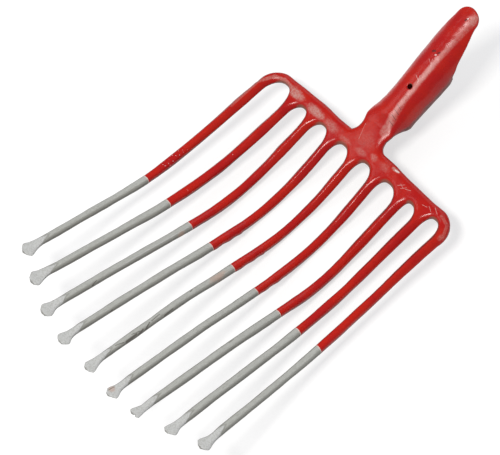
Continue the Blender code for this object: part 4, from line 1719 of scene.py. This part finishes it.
        # Painted highlight bands from the corners run on over the tines' roots, grainy like dust.
        rubbed = self.enamel.rubbed_and_highlight_bands(shader, across, up) * self.enamel.grain(shader, place)
        red = shader.colour(rubbed, self.enamel.red(shader, place), self.enamel.dust_and_highlight_colour)
        red = shader.colour(specks * 0.8, red, self.speck)
        glossy = (1.0 - silver_side) * self.enamel.gloss(shader, place)
        return shader.finish(
            {
                "Base Color": shader.colour(silver_side, red, silver),
                "Roughness": silver_side * self.roughness + glossy,
                "Specular IOR Level": self.specular,
                "Normal": self.enamel.relief(shader, place),
            }
        )


@dataclass(frozen=True)
class SoftLamp:
    """A square softbox that faces the fork from a direction."""

    name: str
    direction: Triple
    distance: float
    size: Pair
    radiance: float
    tint: Triple = (1.0, 1.0, 1.0)

    def build(self, target: Array) -> None:
        """Place the lamp and set its power from the brightness of its face.

        A square lamp's radiance is its power over pi times its area.

        Args:
            target: point it faces.
        """
        data = bpy.data.lights.new(self.name, "AREA")
        data.shape = "RECTANGLE"
        data.size, data.size_y = self.size
        data.energy = self.radiance * math.pi * self.size[0] * self.size[1]
        data.color = self.tint
        heading = np.array(self.direction) / np.linalg.norm(self.direction)
        lamp = bpy.data.objects.new(self.name, data)
        place = Matrix.Translation(tuple(target + heading * self.distance))
        turn = Vector(tuple(heading)).to_track_quat("Z", "Y").to_matrix().to_4x4()
        lamp.matrix_world = place @ turn
        bpy.context.scene.collection.objects.link(lamp)


@dataclass(frozen=True)
class Studio:
    """Pale floor, soft lamps, plain surroundings and the camera of the photograph."""

    floor_height: float = -35.05 * MM
    floor_half: float = 6.0
    lamps_target: Triple = (0.0, -0.10, 0.0)
    camera_place: Triple = (0.80676, -0.45307, 1.47635)
    camera_right: Triple = (0.63112, 0.74192, -0.22637)
    camera_up: Triple = (-0.60847, 0.65451, 0.44876)
    focal_pixels: float = 1588.0
    image_width: float = 500.0
    surroundings: Triple = (0.97, 0.98, 1.05)
    strength: float = 0.35

    def lamps(self) -> tuple[SoftLamp, ...]:
        """The softboxes."""
        return (
            SoftLamp(
                "strip softbox", (0.06, -0.36, 0.93), 2.3, (0.72, 0.46), 31.0, (1.0, 0.98, 0.94)
            ),
            SoftLamp("left softbox", (-0.58, -0.40, 0.71), 2.3, (0.9, 0.9), 1.6),
            SoftLamp("broad softbox", (-0.42, 0.70, 0.57), 2.4, (1.6, 1.6), 0.9),
        )

    def build_floor(self) -> None:
        """Flat floor that is white to the camera but keeps the fork's shadow."""
        shader = Shader("pale floor")
        rays = shader.node("ShaderNodeLightPath").outputs
        kinds = ("Is Camera Ray", "Is Glossy Ray", "Is Transmission Ray")
        seen = shader.most(*(Value(shader, rays[kind]) for kind in kinds))
        white = (1.0, 1.0, 1.0, 1.0)
        inputs = {"Roughness": 0.9, "Specular IOR Level": 0.0, "Emission Color": white}
        bounce = {"Base Color": (0.60, 0.60, 0.60, 1.0), "Emission Strength": 0.0}
        shown = {"Base Color": (0.45, 0.45, 0.45, 1.0), "Emission Strength": 0.62}
        plain = shader.node("ShaderNodeBsdfPrincipled", {}, inputs | bounce)
        lit = shader.node("ShaderNodeBsdfPrincipled", {}, inputs | shown)
        both = shader.node("ShaderNodeMixShader", {}, {0: seen})
        shader.tree.links.new(plain.outputs[0], both.inputs[1])
        shader.tree.links.new(lit.outputs[0], both.inputs[2])
        shader.tree.links.new(both.outputs[0], shader.output.inputs[0])
        half = self.floor_half
        corners = [(-half, -half), (half, -half), (half, half), (-half, half)]
        mesh = bpy.data.meshes.new("floor")
        mesh.from_pydata([(x, y, self.floor_height) for x, y in corners], [], [(0, 1, 2, 3)])
        mesh.materials.append(shader.material)
        floor = bpy.data.objects.new("floor", mesh)
        bpy.context.scene.collection.objects.link(floor)

    def build_world(self) -> None:
        """Even, faintly blue surroundings, which the floor hides from the camera."""
        world = bpy.data.worlds.new("studio")
        world.use_nodes = True
        ground = world.node_tree.nodes["Background"]
        ground.inputs["Color"].default_value = (*self.surroundings, 1.0)
        ground.inputs["Strength"].default_value = self.strength
        bpy.context.scene.world = world

    def build_camera(self) -> None:
        """Camera at the photograph's place, with its axes as the columns of its matrix."""
        data = bpy.data.cameras.new("photograph")
        data.sensor_width = 36.0
        data.lens = data.sensor_width * self.focal_pixels / self.image_width
        data.shift_x, data.shift_y = -0.001, 0.001
        data.clip_start, data.clip_end = 0.05, 50.0
        camera = bpy.data.objects.new("photograph", data)
        right, up = np.array(self.camera_right), np.array(self.camera_up)
        axes = np.eye(4)
        axes[:3, 0], axes[:3, 1], axes[:3, 2] = right, up, np.cross(right, up)
        axes[:3, 3] = self.camera_place
        camera.matrix_world = Matrix(axes.tolist())
        bpy.context.scene.collection.objects.link(camera)
        bpy.context.scene.camera = camera

    def build(self) -> None:
        """Build the whole setting."""
        self.build_floor()
        self.build_world()
        self.build_camera()
        for lamp in self.lamps():
            lamp.build(np.array(self.lamps_target))
        bpy.context.scene.view_settings.view_transform = "Standard"


def tine_forms() -> tuple[TineForm, ...]:
    """The nine tines from left to right, each a little different."""
    return (
        TineForm(
            1, -4.10, -4.09, 0.0, 0.634,
            Fan(9.5, 9.6, 26.0, 20.0, 0.5, (6.0, 2.0, 0.0, 1.8, 5.0)),
            (-0.3, 0.5, 1.4, 0.9, -1.8, -0.85, 0.0), (0.6, 0.7, 0.3, -0.3, -0.2),
        ),
        TineForm(
            2, -2.90, -3.10, 0.0, 0.564,
            Fan(10.5, 8.6, 30.0, 18.0, -1.2, (7.0, 2.0, 0.0, 0.8, 4.0)),
            (-0.6, 0.3, 0.7, -0.45, -0.8, -0.7, -0.4), (0.8, 0.8, 0.5, -0.1, -0.3),
        ),
        TineForm(
            3, -2.02, -2.05, 0.056, 0.418,
            Fan(9.1, 8.8, 24.0, 16.0, 1.5, (5.5, 1.3, 0.0, 0.7, 5.5)),
            (0.0, -0.6, 0.1, 0.4, -0.7, -1.0, -0.2), (0.8, 0.6, 0.2, -0.15, -0.4),
        ),
        TineForm(
            4, -1.04, -1.04, 0.056, 0.376,
            Fan(7.3, 9.3, 19.0, 17.0, 2.7, (4.0, 1.4, 0.2, 0.8, 6.0)),
            (-0.4, 0.2, 0.0, 0.0, -0.95, -0.2, 1.2), (0.2, 0.3, 0.1, -0.1, -0.8), 0.8,
        ),
        TineForm(
            5, -0.01, 0.115, -0.022, 0.379,
            Fan(6.3, 9.1, 22.0, 18.0, -0.4, (4.5, 1.0, 0.0, 1.0, 3.5)),
            (-0.8, 0.4, 0.15, -0.2, -1.7, 0.2, 1.6), (0.0, 0.0, 0.0, -0.5, -0.9), 0.8,
        ),
        TineForm(
            6, 0.99, 1.165, 0.0, 0.376,
            Fan(6.9, 8.5, 18.0, 16.0, 2.3, (5.5, 1.2, 0.3, 2.5, 4.8)),
            (-0.8, -0.15, 0.0, 0.6, -0.7, 0.0, 1.0), (0.2, 0.2, -0.3, -0.3, -0.6), 0.7,
        ),
        TineForm(
            7, 2.09, 2.09, 0.0, 0.405,
            Fan(7.0, 5.9, 12.0, 13.0, 1.7, (2.0, 0.0, 0.8, 0.8, 2.0), 1.6),
            (1.2, -0.6, 0.8, -0.2, -1.2, -0.5, -0.1), (0.5, 0.4, 0.1, 0.0, -0.6),
        ),
        TineForm(
            8, 2.95, 3.065, -0.073, 0.574,
            Fan(7.3, 7.3, 20.0, 14.0, -0.4, (3.0, 0.5, 0.6, 2.8, 5.0)),
            (1.6, -0.1, 0.2, -0.4, -0.2, -0.05, 0.0), (0.0, 0.3, 0.0, -0.2, -0.3),
        ),
        TineForm(
            9, 3.95, 3.92, -0.13, 0.661,
            Fan(8.3, 7.1, 18.0, 16.0, 1.7, (4.5, 1.1, 0.0, 2.0, 4.5)),
            (-0.1, -0.9, -0.3, -0.45, -0.65, 0.35, 0.5), (-0.2, 0.1, -0.1, -0.5, -0.4),
        ),
    )


def arch_forms() -> tuple[Arch, ...]:
    """The eight gaps' depths and crown shifts in millimetres, from left to right."""
    return (
        Arch(6.2, 1.8),
        Arch(11.6, 2.2),
        Arch(11.1, 1.0),
        Arch(11.9, -0.2),
        Arch(11.1, -0.2),
        Arch(11.3, -2.0),
        Arch(12.1, -1.8),
        Arch(9.1, -0.8),
    )


def main() -> None:
    """Build the setting and every piece in order."""
    logging.basicConfig(level=logging.INFO, format="%(message)s")
    level = LevelFrame()
    Studio().build()
    enamel = Enamel(level)
    red = enamel.make("red enamel on the bar")
    # On the socket the painted shade keeps to the far left flank.
    rubbed = Enamel(level, roughness=0.22, specular=0.32, flank=(0.76, 0.86))
    socket_red = rubbed.make("red enamel on the socket")
    painted = TineFinish(level, enamel).make()
    tines, neck = tine_forms(), Neck()
    Crossbar(level, tines, arch_forms(), neck).build(red)
    socket = Socket(level, neck)
    socket.build_foot(socket_red)
    socket.build_sheet(socket_red)
    for tine in tines:
        tine.build(level, painted)


if __name__ == "__main__":
    main()
